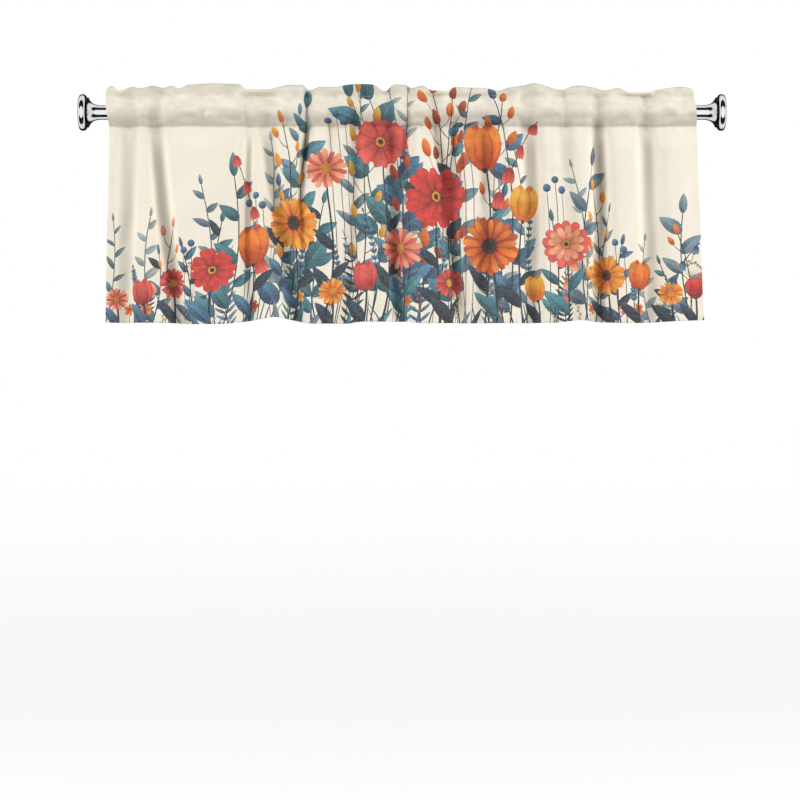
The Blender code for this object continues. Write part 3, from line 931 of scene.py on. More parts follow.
def fern(foot, tip, bend, pairs, leaflet, ink):
    """Pairs of narrow leaflets, longest a third of the way up."""
    line, angles = stem(foot, tip, bend, 2.3 * MM, ink, points=8)
    for k in range(pairs):
        share = 0.12 + 0.86 * k / pairs
        at, turn = part_way(line, angles, share)
        size = leaflet * math.sin(math.pi * min(1, 0.25 + 0.75 * share)) + 3 * MM
        for side in (-1, 1):
            blade(at, turn + side * LEAFLET_LEAN, size, size * 0.24, ink, LEAF, 0.6, 0.8, bend=-0.1 * side)


def spike(foot, tip, bend, rows, size, ink):
    """A stalk crowded with small florets over its upper half."""
    line, angles = stem(foot, tip, bend, 2.3 * MM, "navy", points=7)
    for k in range(rows):
        share = 0.5 + 0.5 * k / rows
        at, turn = part_way(line, angles, share)
        for side in (-1, 1):
            blade(at, turn + side * FLORET_LEAN, size * (1.2 - 0.5 * share), size * 0.5, ink, BUD, 0.6, 0.6)
    blade(line[-1], angles[-1], size * 0.8, size * 0.4, ink, BUD, 0.6, 0.6)


def umbel(foot, tip, bend, spread, count, dot, ink):
    """Fine stalks fanning from one point, each ending in a dot."""
    line, angles = stem(foot, tip, bend, 1.8 * MM, ink, points=6)
    for k in range(count):
        angle = angles[-1] + UMBEL_FAN * (k / (count - 1) - 0.5)
        out = line[-1] + heading(angle) * spread * dice.uniform(0.7, 1.05)
        stem(line[-1], out, 0.0, 1.0 * MM, ink, points=2)
        disc(out, dot * dice.uniform(0.8, 1.2), ink, BUD, points=6)


def bellflower(foot, tip, bend, count, size, ink):
    """An arching stalk hung with small bells."""
    line, angles = stem(foot, tip, bend, 2.8 * MM, "navy", points=10)
    side = 1 if bend > 0 else -1
    for k in range(count):
        at, turn = part_way(line, angles, 0.42 + 0.58 * k / max(1, count - 1))
        hang_from = at + np.array([side * 6 * MM, -5 * MM])
        stem(at, hang_from, -0.2 * side, 1.6 * MM, "navy", points=3)
        scale = size * (1 - 0.4 * k / count)
        for spread in (-16, 16, 0):
            blade(hang_from, 180 - side * 14 + spread, scale, scale * 0.44, ink, PETAL, 0.42, 0.5)


# %% [markdown]
# Flower heads are rings of petals.  The back ring goes down first and shows between the petals of the
# front one.  A flower that faces a little away is the same drawing, flattened.

# %% Flower heads
def ring(centre, radius, count, ratio, ink, squash, turn=0.0, rise=0.9, fall=0.35, notch=0.04, inner=0.12):
    """A ring of petals round a flower's eye, which takes up the inner share of its radius."""
    flat = np.array([1.0, squash])
    for k in range(count):
        angle = turn + 360 * k / count + dice.uniform(-4, 4)
        length = radius * (1 - inner) * dice.uniform(0.92, 1.04)
        foot = np.asarray(centre) + heading(angle) * radius * inner
        width = length * ratio * dice.uniform(0.92, 1.06)
        blade(foot, angle, length, width, ink, PETAL, rise, fall, notch=notch)
        petal = shapes[-1]
        run = petal.axis * petal.length * flat
        shapes[-1] = petal._replace(
            outline=centre + (petal.outline - centre) * flat,
            foot=centre + (petal.foot - centre) * flat,
            axis=run / np.linalg.norm(run),
            length=float(np.linalg.norm(run)),
        )


def stamens(centre, radius, count, dot, squash, ink="seed"):
    """A ring of dots."""
    for k in range(count):
        out = heading(360 * k / count + dice.uniform(-6, 6)) * radius * dice.uniform(0.85, 1.15)
        disc(centre + out * np.array([1.0, squash]), dot, ink, BUD, points=6)


def coneflower(centre, radius, ink, under, squash, **_):
    ring(centre, radius, 13, 0.30, under, squash, turn=14, inner=0.2)
    ring(centre, radius * 0.97, 13, 0.31, ink, squash, rise=0.75, fall=0.45, inner=0.2)
    disc(centre, radius * 0.27, "bark", squash=squash, points=18)
    disc(centre, radius * 0.15, "seed", squash=squash)
    stamens(centre, radius * 0.27, 22, radius * 0.025, squash)


def zinnia(centre, radius, ink, under, squash, **_):
    for layer, (share, count) in enumerate(((1.0, 13), (0.77, 11), (0.54, 8))):
        tone = ink if layer else under
        turn = 13 * layer
        ring(centre, radius * share, count, 0.46, tone, squash, turn, rise=0.7, fall=0.34, notch=0.0)
    disc(centre, radius * 0.18, "gold", squash=squash)
    disc(centre, radius * 0.10, "seed", squash=squash, points=10)
    stamens(centre, radius * 0.2, 14, radius * 0.026, squash, "bark")


def cosmos(centre, radius, ink, under, squash, **_):
    ring(centre, radius * 0.94, 8, 0.62, under, squash, turn=22, rise=0.85, fall=0.24, notch=0.07)
    ring(centre, radius, 8, 0.66, ink, squash, fall=0.24, notch=0.1, inner=0.1)
    disc(centre, radius * 0.19, "gold", squash=squash)
    disc(centre, radius * 0.10, "bark", squash=squash, points=10)
    stamens(centre, radius * 0.22, 16, radius * 0.022, squash)


def daisy(centre, radius, ink, under, squash, **_):
    ring(centre, radius * 0.95, 9, 0.30, under, squash, turn=20, rise=0.8, fall=0.4, inner=0.16)
    ring(centre, radius, 9, 0.32, ink, squash, rise=0.8, fall=0.4, inner=0.16)
    disc(centre, radius * 0.24, "gold", squash=squash)
    stamens(centre, radius * 0.18, 9, radius * 0.03, squash, "rust")


def tulip(centre, radius, ink, under, lean, **_):
    """Seen from the side: two petals behind, two at the sides and one in front."""
    foot = np.asarray(centre) - heading(lean) * radius
    behind = ((-17, 1.84, 0.40, under), (17, 1.86, 0.40, under))
    before = ((-32, 1.72, 0.48, ink), (32, 1.70, 0.48, ink), (0, 1.66, 0.54, ink))
    for angle, share, ratio, tone in behind + before:
        length = radius * share
        blade(foot, lean + angle, length, length * ratio, tone, PETAL, 0.5, 0.5, bend=-0.007 * angle)
    disc(foot, radius * 0.12, "navy", BUD, points=8)


class Bloom(NamedTuple):
    """A flower head, in millimetres on the flat cloth, and the foot of its stalk."""

    kind: object
    x: float
    y: float
    radius: float
    ink: str
    under: str
    foot: float
    bend: float
    squash: float = 1.0


def planted(bloom):
    """A bloom's stalk with a few leaves down it.  The lean of its top is returned."""
    centre = np.array([bloom.x, bloom.y]) * MM
    line, angles = stem((bloom.foot * MM, -HEM_TURN), centre, bloom.bend, 4.8 * MM, "navy", points=9)
    count = max(1, round(bloom.y / 90))
    for k in range(count):
        at, turn = part_way(line, angles, 0.22 + 0.45 * k / count + dice.uniform(-0.03, 0.03))
        side = 1 if k % 2 else -1
        size = dice.uniform(46, 68) * MM * (1.1 - 0.4 * k / count)
        lean = side * dice.uniform(26, 44)
        ink = dice.choice(("teal", "blue", "navy", "navy"))
        blade(at, turn + lean, size, size * 0.38, ink, LEAF, bend=0.15 * side)
    return angles[-1] * 0.6


# %% [markdown]
# ## Laying out the border
# The plants are set out from back to front: pale sprays, ferns and umbels, then stronger sprays and boughs
# whose leaves stay large up to the tip, then twigs, spikes and berries, the low growth along the hem,
# hanging bells, and last the flowers.  Their places and lengths are in millimetres, and their feet are at
# the raw edge of the hem.  The low growth is drawn by a seeded die.

# %% The layout
PALE_SPRAYS = (
    # foot, tip x, tip y, bend, pairs, leaf, ratio, ink
    (-653, -633, 196, 0.06, 6, 32, 0.32, "slate"), (-537, -553, 206, -0.07, 6, 36, 0.36, "mist"),
    (-419, -439, 268, 0.05, 7, 38, 0.4, "slate"), (-315, -293, 352, 0.05, 8, 40, 0.34, "mist"),
    (-241, -221, 410, -0.04, 9, 44, 0.44, "slate"), (-97, -79, 448, -0.04, 9, 46, 0.36, "slate"),
    (-5, -17, 468, 0.03, 9, 44, 0.42, "mist"), (9, 23, 462, -0.03, 9, 42, 0.34, "mist"),
    (137, 159, 474, -0.05, 9, 46, 0.44, "slate"), (199, 191, 392, 0.05, 8, 40, 0.34, "mist"),
    (261, 243, 336, 0.04, 7, 40, 0.4, "slate"), (383, 369, 300, 0.06, 7, 36, 0.34, "mist"),
    (431, 455, 214, -0.05, 5, 38, 0.34, "slate"), (541, 533, 158, -0.06, 5, 32, 0.38, "mist"),
)
FERNS = (
    # foot, tip x, tip y, bend, leaflet, ink
    (-575, -561, 94, 0.08, 20, "navy"), (-369, -377, 150, -0.08, 24, "slate"),
    (-257, -247, 168, 0.06, 26, "teal"), (-125, -137, 182, 0.08, 26, "navy"),
    (-9, -25, 196, 0.08, 28, "slate"), (41, 59, 214, -0.08, 28, "teal"),
    (175, 163, 168, 0.08, 24, "slate"), (349, 361, 112, -0.08, 22, "navy"),
    (557, 575, 92, 0.1, 18, "teal"),
)
UMBELS = (
    # foot, tip x, tip y, bend
    (-463, -449, 90, 0.05), (-281, -293, 138, -0.05), (-35, -25, 132, 0.05), (57, 45, 150, 0.05),
    (193, 205, 112, 0.05), (395, 383, 96, 0.08), (629, 625, 82, -0.06),
)
SPRAYS = (
    # foot, tip x, tip y, bend, pairs, leaf, ratio, ink
    (-551, -533, 132, 0.06, 3, 40, 0.42, "teal"), (-449, -473, 146, 0.05, 4, 42, 0.36, "blue"),
    (-399, -399, 196, -0.05, 5, 46, 0.4, "teal"), (-293, -273, 262, 0.06, 6, 50, 0.5, "blue"),
    (-193, -169, 232, -0.05, 5, 48, 0.4, "teal"), (27, 11, 352, 0.05, 7, 50, 0.44, "blue"),
    (105, 117, 366, -0.04, 6, 54, 0.52, "teal"), (237, 221, 246, -0.06, 5, 48, 0.5, "blue"),
    (319, 327, 196, 0.06, 4, 46, 0.36, "teal"), (475, 483, 150, -0.05, 4, 42, 0.36, "blue"),
    (579, 565, 112, 0.08, 3, 38, 0.4, "teal"),
)
BOUGHS = (
    # the same
    (-393, -377, 284, 0.06, 4, 44, 0.4, "teal"), (-177, -199, 424, -0.07, 5, 50, 0.46, "teal"),
    (-79, -105, 452, 0.06, 5, 52, 0.52, "teal"), (-49, -61, 446, 0.05, 4, 54, 0.56, "teal"),
    (-23, -9, 330, 0.05, 4, 58, 0.58, "blue"), (221, 209, 446, 0.05, 5, 42, 0.48, "blue"),
    (395, 413, 304, -0.05, 4, 40, 0.42, "slate"), (625, 611, 210, -0.05, 3, 40, 0.44, "slate"),
)
TWIGS = (
    # foot, tip x, tip y, bend, buds, size, ink
    (-505, -499, 186, -0.06, 5, 18, "peach"), (-255, -265, 392, 0.05, 9, 24, "amber"),
    (-125, -85, 462, 0.05, 9, 26, "gold"), (-5, 13, 300, 0.03, 7, 24, "rust"),
    (47, 79, 466, 0.05, 11, 28, "orange"), (125, 117, 448, -0.05, 10, 27, "rust"),
    (215, 225, 440, -0.05, 10, 24, "orange"), (409, 417, 256, 0.06, 6, 20, "amber"),
    (615, 601, 170, 0.07, 5, 18, "orange"),
)
SPIKES = (
    # foot, tip x, tip y, bend
    (-581, -587, 104, 0.06), (-429, -419, 132, 0.06), (-345, -327, 186, -0.05), (-219, -209, 196, -0.05),
    (-153, -161, 166, 0.06), (-79, -85, 214, 0.05), (85, 67, 190, 0.05), (293, 279, 206, -0.05),
    (449, 435, 128, 0.05), (505, 511, 112, -0.05),
)
BERRIES = (
    # x, y, radius
    (-342, 232, 8), (-326, 246, 7), (-312, 226, 8), (-158, 398, 8), (-142, 414, 7), (-126, 396, 9),
    (112, 372, 9), (130, 388, 8), (146, 368, 8), (316, 262, 8), (332, 278, 7), (346, 258, 8),
    (-470, 142, 7), (-456, 156, 7), (470, 156, 7), (486, 142, 7),
)
BELLS = (
    # foot, tip x, tip y, bend, count, size, ink
    (-351, -383, 330, 0.12, 5, 34, "coral"), (183, 297, 396, -0.1, 6, 40, "coral"),
    (359, 399, 156, -0.12, 4, 28, "peach"), (593, 643, 152, -0.16, 4, 26, "blue"),
)
BLOOMS = [Bloom(*row) for row in (
    # kind, x, y, radius, ink, under, foot, bend, squash
    (daisy, -622, 46, 26, "peach", "coral", -616, 0.03, 0.9),
    (tulip, -566, 62, 27, "coral", "red", -560, 0.05),
    (daisy, -500, 78, 35, "coral", "red", -494, 0.03, 0.9),
    (zinnia, -414, 104, 46, "red", "red", -408, -0.04, 0.92),
    (tulip, -332, 152, 43, "orange", "rust", -340, 0.05),
    (coneflower, -238, 192, 58, "amber", "orange", -238, 0.04, 0.92),
    (daisy, -158, 62, 30, "amber", "orange", -154, 0.03, 0.9),
    (daisy, -164, 300, 45, "peach", "coral", -176, 0.04, 0.88),
    (tulip, -92, 92, 31, "coral", "red", -92, 0.05),
    (cosmos, -44, 352, 60, "coral", "red", -56, 0.04, 0.88),
    (daisy, -8, 144, 48, "peach", "coral", -4, 0.03, 0.92),
    (zinnia, 72, 246, 66, "red", "red", 80, -0.04, 0.92),
    (daisy, 92, 78, 34, "coral", "red", 96, 0.03, 0.9),
    (tulip, 178, 348, 50, "orange", "rust", 166, 0.05),
    (coneflower, 190, 150, 62, "orange", "rust", 194, 0.05, 0.92),
    (tulip, 264, 236, 39, "amber", "orange", 256, -0.04),
    (tulip, 286, 70, 28, "amber", "orange", 290, 0.05),
    (zinnia, 354, 152, 50, "peach", "coral", 348, 0.03, 0.92),
    (coneflower, 446, 92, 44, "amber", "orange", 450, 0.04, 0.9),
    (tulip, 518, 96, 31, "orange", "rust", 512, -0.04),
    (daisy, 582, 54, 27, "amber", "orange", 580, 0.03, 0.9),
    (tulip, 630, 66, 23, "red", "red", 626, 0.04),
)]  # fmt: skip
LOW_PLANTS = 78
LOW_REACH = 642  # millimetres to each side of the middle
LOW_AT_ENDS = 34  # millimetres tall
LOW_SWELL = 44  # and this much more in the middle
GRASS, THIN_LEAVES, TWIGLETS = 0.40, 0.66, 0.84  # shares of the low plants, added up; the rest are florets


def low_growth():
    """Grass, thin leaves, twiglets and florets along the hem, tallest in the middle."""
    for k in range(LOW_PLANTS):
        x = -LOW_REACH + 2 * LOW_REACH * (k + dice.random()) / LOW_PLANTS
        tall = LOW_AT_ENDS + LOW_SWELL * (1 - abs(x) / (0.5 * CUT_WIDTH / MM)) ** 1.5
        foot = np.array([x, -HEM_TURN / MM - dice.uniform(0, 6)]) * MM
        lean = dice.uniform(-30, 30)
        kind = dice.random()
        if kind < GRASS:
            blade(foot, lean, (dice.uniform(0.6, 1.4) * tall + 26) * MM, dice.uniform(2.8, 5.2) * MM,
                  dice.choice(("navy", "teal", "navy", "mist", "blue")), LEAF, 0.25, 0.9, 0.005 * lean)
        elif kind < THIN_LEAVES:
            length = (dice.uniform(0.5, 1.1) * tall + 22) * MM
            blade(foot, lean, length, length * dice.uniform(0.15, 0.24),
                  dice.choice(("teal", "navy", "navy", "slate")), LEAF, 0.8, 0.9, 0.006 * lean)
        elif kind < TWIGLETS:
            tip = np.array([x + lean * 0.5, tall * dice.uniform(0.6, 1.0)]) * MM
            line, angles = stem(foot, tip, 0.05, 1.6 * MM, "bark", points=4)
            ink = dice.choice(("gold", "straw", "orange", "mist"))
            for j in range(5):
                at, turn = part_way(line, angles, 0.5 + 0.12 * j)
                blade(at, turn + (38 if j % 2 else -38), 8 * MM, 3.2 * MM, ink, BUD, 0.6, 0.6)
        else:
            head = np.array([x + lean * 0.3, tall * dice.uniform(0.5, 0.9)]) * MM
            stem(foot, head, 0.03, 1.7 * MM, "navy", points=4)
            ink = dice.choice(("orange", "orange", "rust", "coral", "amber"))
            for turn in range(0, 360, 72):
                blade(head, turn + lean, 13 * MM, 9 * MM, ink, PETAL, 0.7, 0.3)


def rooted(foot, x, y):
    """A plant's foot and tip on the flat cloth, in metres."""
    return (foot * MM, -HEM_TURN), (x * MM, y * MM)


def draw_sprays(rows, **looks):
    for foot, x, y, bend, pairs, leaf, ratio, ink in rows:
        spray(*rooted(foot, x, y), bend, pairs, leaf * MM, ratio, ink, **looks)


def draw_border():
    """Every plant, from back to front.  The flowers' stalks all lie under the flower heads."""
    draw_sprays(PALE_SPRAYS, stalk="slate")
    for foot, x, y, bend, leaflet, ink in FERNS:
        fern(*rooted(foot, x, y), bend, pairs=12, leaflet=leaflet * MM, ink=ink)
    for foot, x, y, bend in UMBELS:
        umbel(*rooted(foot, x, y), bend, spread=34 * MM, count=12, dot=3.2 * MM, ink="straw")
    draw_sprays(SPRAYS, dark=0.25)
    draw_sprays(BOUGHS, shrink=0.12)
    for foot, x, y, bend, buds, size, ink in TWIGS:
        budding_twig(*rooted(foot, x, y), bend, buds, size * MM, ink)
    for foot, x, y, bend in SPIKES:
        spike(*rooted(foot, x, y), bend, rows=9, size=13 * MM, ink="blue")
    for x, y, radius in BERRIES:
        foot, tip = rooted(x - 6, x, y)
        stem(foot, tip, bend=0.03, width=1.8 * MM, ink="bark")
        disc(tip, radius * MM, "blue", BERRY)
    low_growth()
    for foot, x, y, bend, count, size, ink in BELLS:
        bellflower(*rooted(foot, x, y), bend, count, size * MM, ink)
    leans = [planted(bloom) for bloom in BLOOMS]
    for bloom, lean in zip(BLOOMS, leans):
        centre = np.array([bloom.x, bloom.y]) * MM
        looks = {"ink": bloom.ink, "under": bloom.under, "squash": bloom.squash}
        bloom.kind(centre, bloom.radius * MM, lean=lean, **looks)


draw_border()
print(len(shapes), "shapes,", sum(len(shape.outline) for shape in shapes), "outline points")
# %% [markdown]
# ## From drawing to mesh
# The print becomes part of the mesh.  A constrained triangulation fills the flat cloth with triangles
# whose edges run along every outline of ink and along a regular grid, which lets the cloth bend.  Two
# passes keep it light: the first finds which ink lies on top where outlines cross, and the second keeps
# only the outlines that show.
#
# Where the cloth folds over, at the hem and at the top, whole rows of the grid are edges too, so that no
# triangle cuts the corner.

# %% Triangles for the flat cloth
FINEST = 0.2  # millimetres; points closer than this are merged
GRID_ACROSS = 5.2 * MM
LONGEST_EDGE = 9 * MM
CROWDED = 3.6 * MM  # a grid point this near to an outline isn't needed
PUCKER_ZONE = 28 * MM  # of closer rows under the lower seam
FOLDED_ROWS = [fold + side * FOLD_TURN for fold in (0.0, TOP_EDGE) for side in (-1, 0, 1)]


def rows_between(start, end, spacing):
    return list(np.linspace(start, end, max(2, round((end - start) / spacing) + 1)))[:-1]


def grid_rows():
    """Heights of the grid's rows, closer together at the seams and in the ruffle."""
    rows = rows_between(-HEM_TURN, -FOLD_TURN, 8 * MM) + [-FOLD_TURN, 0.0]
    rows += rows_between(FOLD_TURN, FRONT_LOWER - PUCKER_ZONE, 9.6 * MM)
    rows += rows_between(FRONT_LOWER - PUCKER_ZONE, FRONT_LOWER, 4 * MM)
    rows += rows_between(FRONT_LOWER, FRONT_UPPER, 3.5 * MM)
    rows += rows_between(FRONT_UPPER, TOP_EDGE - FOLD_TURN, 3.2 * MM) + [TOP_EDGE - FOLD_TURN, TOP_EDGE]
    rows += rows_between(TOP_EDGE + FOLD_TURN, BACK_UPPER, 6 * MM)
    rows += rows_between(BACK_UPPER, BACK_LOWER, 7 * MM)
    return rows + [BACK_LOWER, CUT_EDGE]


def triangulated(points, edges):
    """Delaunay triangles that keep to the given edges.  Points are in metres; the tool works in mm."""
    flat = [Vector((x / MM, y / MM)) for x, y in points]
    found = delaunay_2d_cdt(flat, [tuple(edge) for edge in edges], [], 0, FINEST, False)
    return np.array([tuple(p) for p in found[0]]) * MM, np.array([tuple(t) for t in found[2]])


def outline_edges():
    """All outlines as points and edges, cut off at the cloth's own edges."""
    points, edges = [], []
    for shape in shapes:
        first, count = len(points), len(shape.outline)
        x = np.clip(shape.outline[:, 0], -CUT_WIDTH / 2, CUT_WIDTH / 2)
        y = np.clip(shape.outline[:, 1], -HEM_TURN, CUT_EDGE)
        points.extend(zip(x, y))
        edges.extend((first + i, first + (i + 1) % count) for i in range(count))
    return points, edges


def cut_short(points, edges):
    """The edges, with the long ones cut into even lengths so that they can follow the folds."""
    points, short = list(points), []
    for start, end in edges:
        a, b = points[start], points[end]
        pieces = max(1, math.ceil(math.dist(a, b) / LONGEST_EDGE))
        stops = [start] + [len(points) + i for i in range(pieces - 1)] + [end]
        step_x, step_y = (b[0] - a[0]) / pieces, (b[1] - a[1]) / pieces
        points += [(a[0] + i * step_x, a[1] + i * step_y) for i in range(1, pieces)]
        short += list(zip(stops, stops[1:]))
    return points, short


def roomy_grid(outline):
    """The grid as points, without those that an outline crowds, and the edges along its folded rows."""
    columns = np.linspace(-CUT_WIDTH / 2, CUT_WIDTH / 2, round(CUT_WIDTH / GRID_ACROSS) + 1)
    taken = set()
    for x, y in outline:
        cell = (math.floor(x / CROWDED), math.floor(y / CROWDED))
        taken.update((cell[0] + i, cell[1] + j) for i, j in ((0, 0), (1, 0), (-1, 0), (0, 1), (0, -1)))
    grid, edges = [], []
    for y in grid_rows():
        folded = min(abs(y - row) for row in FOLDED_ROWS) < 0.01 * MM
        for x in columns:
            if folded and x > columns[0]:
                edges.append((len(grid) - 1, len(grid)))
            inside = abs(x) < 0.499 * CUT_WIDTH and y > FOLD_TURN
            if folded or not inside or (math.floor(x / CROWDED), math.floor(y / CROWDED)) not in taken:
                grid.append((x, y))
    return grid, edges


def winding(points, outline):
    """How many times the outline goes round each point."""
    turns = np.zeros(len(points), int)
    for (x1, y1), (x2, y2) in zip(outline, np.roll(outline, -1, axis=0)):
        left = (x2 - x1) * (points[:, 1] - y1) - (points[:, 0] - x1) * (y2 - y1)
        turns += (y1 <= points[:, 1]) & (y2 > points[:, 1]) & (left > 0)
        turns -= (y1 > points[:, 1]) & (y2 <= points[:, 1]) & (left < 0)
    return turns


def topmost_shape(points, triangles):
    """For each triangle, the last drawn shape that covers its middle, or -1 for bare ground."""
    middle = points[triangles].mean(axis=1)
    order = np.argsort(middle[:, 0])
    sorted_x = middle[order, 0]
    top = np.full(len(triangles), -1)
    for number, shape in enumerate(shapes):
        low, high = shape.outline.min(axis=0), shape.outline.max(axis=0)
        near = order[np.searchsorted(sorted_x, low[0]) : np.searchsorted(sorted_x, high[0])]
        near = near[(middle[near, 1] >= low[1]) & (middle[near, 1] <= high[1])]
        if len(near):
            top[near[winding(middle[near], shape.outline) != 0]] = number
    return top


def border_edges(triangles, top):
    """The edges where two different inks meet."""
    sides = np.sort(np.concatenate([triangles[:, pair] for pair in ([0, 1], [1, 2], [2, 0])]), axis=1)
    owner = np.tile(top, 3)
    order = np.lexsort((sides[:, 1], sides[:, 0]))
    sides, owner = sides[order], owner[order]
    same = (sides[1:] == sides[:-1]).all(axis=1)
    return sides[:-1][same & (owner[1:] != owner[:-1])]


drawn_points, drawn_edges = outline_edges()
corners = [(x, y) for y in (-HEM_TURN, CUT_EDGE) for x in (-CUT_WIDTH / 2, CUT_WIDTH / 2)]
points, triangles = triangulated(drawn_points + corners, drawn_edges)
showing = border_edges(triangles, topmost_shape(points, triangles))
print(len(points), "points in the drawing,", len(showing), "outline edges that show")

kept, numbering = np.unique(showing, return_inverse=True)
outline_points, outline = cut_short([tuple(p) for p in points[kept]], numbering.reshape(showing.shape))
grid, folded_edges = roomy_grid(outline_points)
print(len(outline_points), "outline points and", len(grid), "grid points")
folded_edges = [(a + len(outline_points), b + len(outline_points)) for a, b in folded_edges]
flat_points, triangles = triangulated(outline_points + grid, outline + folded_edges)
top_shape = topmost_shape(flat_points, triangles)
print(len(flat_points), "points and", len(triangles), "triangles,", (top_shape >= 0).mean().round(2), "inked")

# %% [markdown]
# ## The sheet
# The flat points are hung, and Solidify gives the cloth its thickness.  The reverse gets a finish of its
# own, because ink printed on one side shows through only faintly on the other.
#
# The mesh also stores what the finish will need: where each corner lies in its patch of ink, the two tones
# of that ink, and how deep each point lies in the folds, which the finish turns into painted shade.

# %% Helpers for meshes
def new_piece(name, points, edges, faces):
    """A mesh object, put into the scene."""
    mesh = bpy.data.meshes.new(name)
    mesh.from_pydata(points, edges, faces)
    piece = bpy.data.objects.new(name, mesh)
    scene.collection.objects.link(piece)
    return piece


def chain(points):
    """Edges that join the points one after another."""
    return [(i, i + 1) for i in range(len(points) - 1)]


def values_of(items, name, width=1, kind=float):
    """One property of all the vertices, corners or faces of a mesh."""
    values = np.empty(len(items) * width, kind)
    items.foreach_get(name, values)
    return values.reshape(-1, width) if width > 1 else values


print("mesh helpers ready")

# %% The hung sheet with its thickness
def hung_sheet():
    sheet = new_piece("valance_sheet", hang(*flat_points.T), [], triangles)
    for side in ("printed", "reverse"):
        sheet.data.materials.append(None)  # a slot for each, or Solidify would give both sides the first
    record_print(sheet.data)
    thickness = sheet.modifiers.new("thickness", "SOLIDIFY")
    thickness.thickness = THICKNESS
    thickness.offset = 0.0
    thickness.material_offset = 1
    thickness.material_offset_rim = 0
    return sheet


def record_print(mesh):
    """Stores each corner's place in its patch of ink (along, across, style) and the patch's two tones,
    and each point's place on the flat cloth and how deep it lies."""
    corner_point = flat_points[triangles.ravel()]
    owner = np.repeat(top_shape, 3)
    table = {
        name: np.array([getattr(shape, name) for shape in shapes], float)
        for name in ("foot", "axis", "length", "width", "rise", "fall", "bend", "style")
    }
    foot, axis, length, width, rise, fall, bend, style = (table[name][owner] for name in table)
    away = corner_point - foot
    along = (away * axis).sum(axis=1) / length
    across = (away[:, 0] * axis[:, 1] - away[:, 1] * axis[:, 0] - bend * length * along**2) / (0.5 * width)
    share = np.clip(along, 0.02, 0.98)
    blades = rise > 0
    rise, fall = np.where(blades, rise, 1.0), np.where(blades, fall, 1.0)
    across = np.where(blades, across / (share**rise * (1 - share) ** fall / widest(rise, fall)), across)
    inked = owner >= 0
    drawn = np.column_stack([along, np.clip(across, -1.2, 1.2), style]) * inked[:, None]
    tones = np.array([(shape.ink.deep, shape.ink.light) for shape in shapes])[owner] * inked[:, None, None]
    flat = np.column_stack([flat_points, np.zeros(len(flat_points))])
    for domain, layers in (
        ("CORNER", {"drawn": drawn, "deep_ink": tones[:, 0], "light_ink": tones[:, 1]}),
        ("POINT", {"flat": flat, "hollow": hollows()}),
    ):
        for name, values in layers.items():
            layer = mesh.attributes.new(name, "FLOAT_VECTOR", domain)
            layer.data.foreach_set("vector", values.astype(np.float32).ravel())


BANK_REACHES = (10 * MM, 22 * MM, 40 * MM)  # how far to each side a bank is looked for


def hollows():
    """How deep each point lies below the lower of the two banks beside it, in millimetres.

    The first number is for the printed side and the second for the reverse."""
    across, up = flat_points.T
    here = hang(across, up)[:, 1]
    outward = np.sign(facing(across, up)[:, 1])

    def bank(side):
        return [(hang(across + side * reach, up)[:, 1] - here) * outward for reach in BANK_REACHES]

    left, right = bank(-1), bank(1)
    printed = np.minimum(np.max(left, axis=0), np.max(right, axis=0))
    reverse = -np.maximum(np.min(left, axis=0), np.min(right, axis=0))
    return np.column_stack([printed, reverse, 0 * here]) / MM


def made_plain(piece):
    """The piece with its modifiers worked into its mesh."""
    evaluated = piece.evaluated_get(bpy.context.evaluated_depsgraph_get())
    settled = bpy.data.meshes.new_from_object(evaluated)
    settled.name = piece.name
    piece.modifiers.clear()
    piece.data = settled
    return piece


sheet = made_plain(hung_sheet())
on_reverse = sum(polygon.material_index for polygon in sheet.data.polygons)
print(len(sheet.data.vertices), "points,", len(sheet.data.polygons), "faces,", on_reverse, "on the reverse")

# %% [markdown]
# Long thin triangles beside the ink's outlines would catch the light oddly.  The hung shape is a formula,
# so its true normal is known at every point, and the mesh is told to use it.

# %% True normals, and a layout for textures
LAYOUT_MARGIN = 0.006
RIM_SHIFT = 0.4 * LAYOUT_MARGIN


def set_true_normals(mesh):
    """The printed face keeps its normals, and the reverse gets them turned round."""
    normals = facing(*flat_points.T)
    first_copy = values_of(mesh.vertices, "co", 3)[: len(flat_points)]
    outer = ((first_copy - hang(*flat_points.T)) * normals).sum(axis=1).mean() > 0
    both = np.vstack([normals, -normals] if outer else [-normals, normals])
    mesh.shade_smooth()
    mesh.normals_split_custom_set_from_vertices(both)
    print("first copy of the points is the", "printed face" if outer else "reverse")


def lay_out_texture(mesh):
    """A texture layout in real proportion: the printed face above, the reverse below, the rim beside."""
    layout = mesh.uv_layers.new(name="OFBake")
    loop_point = values_of(mesh.loops, "vertex_index", kind=int)
    sides = values_of(mesh.polygons, "loop_total", kind=int)
    flat = flat_points[loop_point % len(flat_points)]
    reverse = np.repeat(values_of(mesh.polygons, "material_index", kind=int) == 1, sides)
    u = LAYOUT_MARGIN + (1 - 2 * LAYOUT_MARGIN) * (flat[:, 0] / CUT_WIDTH + 0.5)
    v = LAYOUT_MARGIN + (0.5 - 2 * LAYOUT_MARGIN) * (flat[:, 1] + HEM_TURN) / CUT_LENGTH
    v = v + np.where(reverse, 0.0, 0.5)
    rim = np.repeat(sides == 4, sides) & (loop_point >= len(flat_points))
    u = np.where(rim, u - np.sign(0.5 - u) * RIM_SHIFT, u)
    v = np.where(rim, v + RIM_SHIFT, v)
    layout.data.foreach_set("uv", np.column_stack([u, v]).astype(np.float32).ravel())


set_true_normals(sheet.data)
lay_out_texture(sheet.data)
from_axis = np.hypot(*hang(*flat_points.T)[:, 1:].T)
print(f"the cloth clears the rod by {(from_axis.min() - ROD_RADIUS - THICKNESS / 2) / MM:.2f} mm or more")
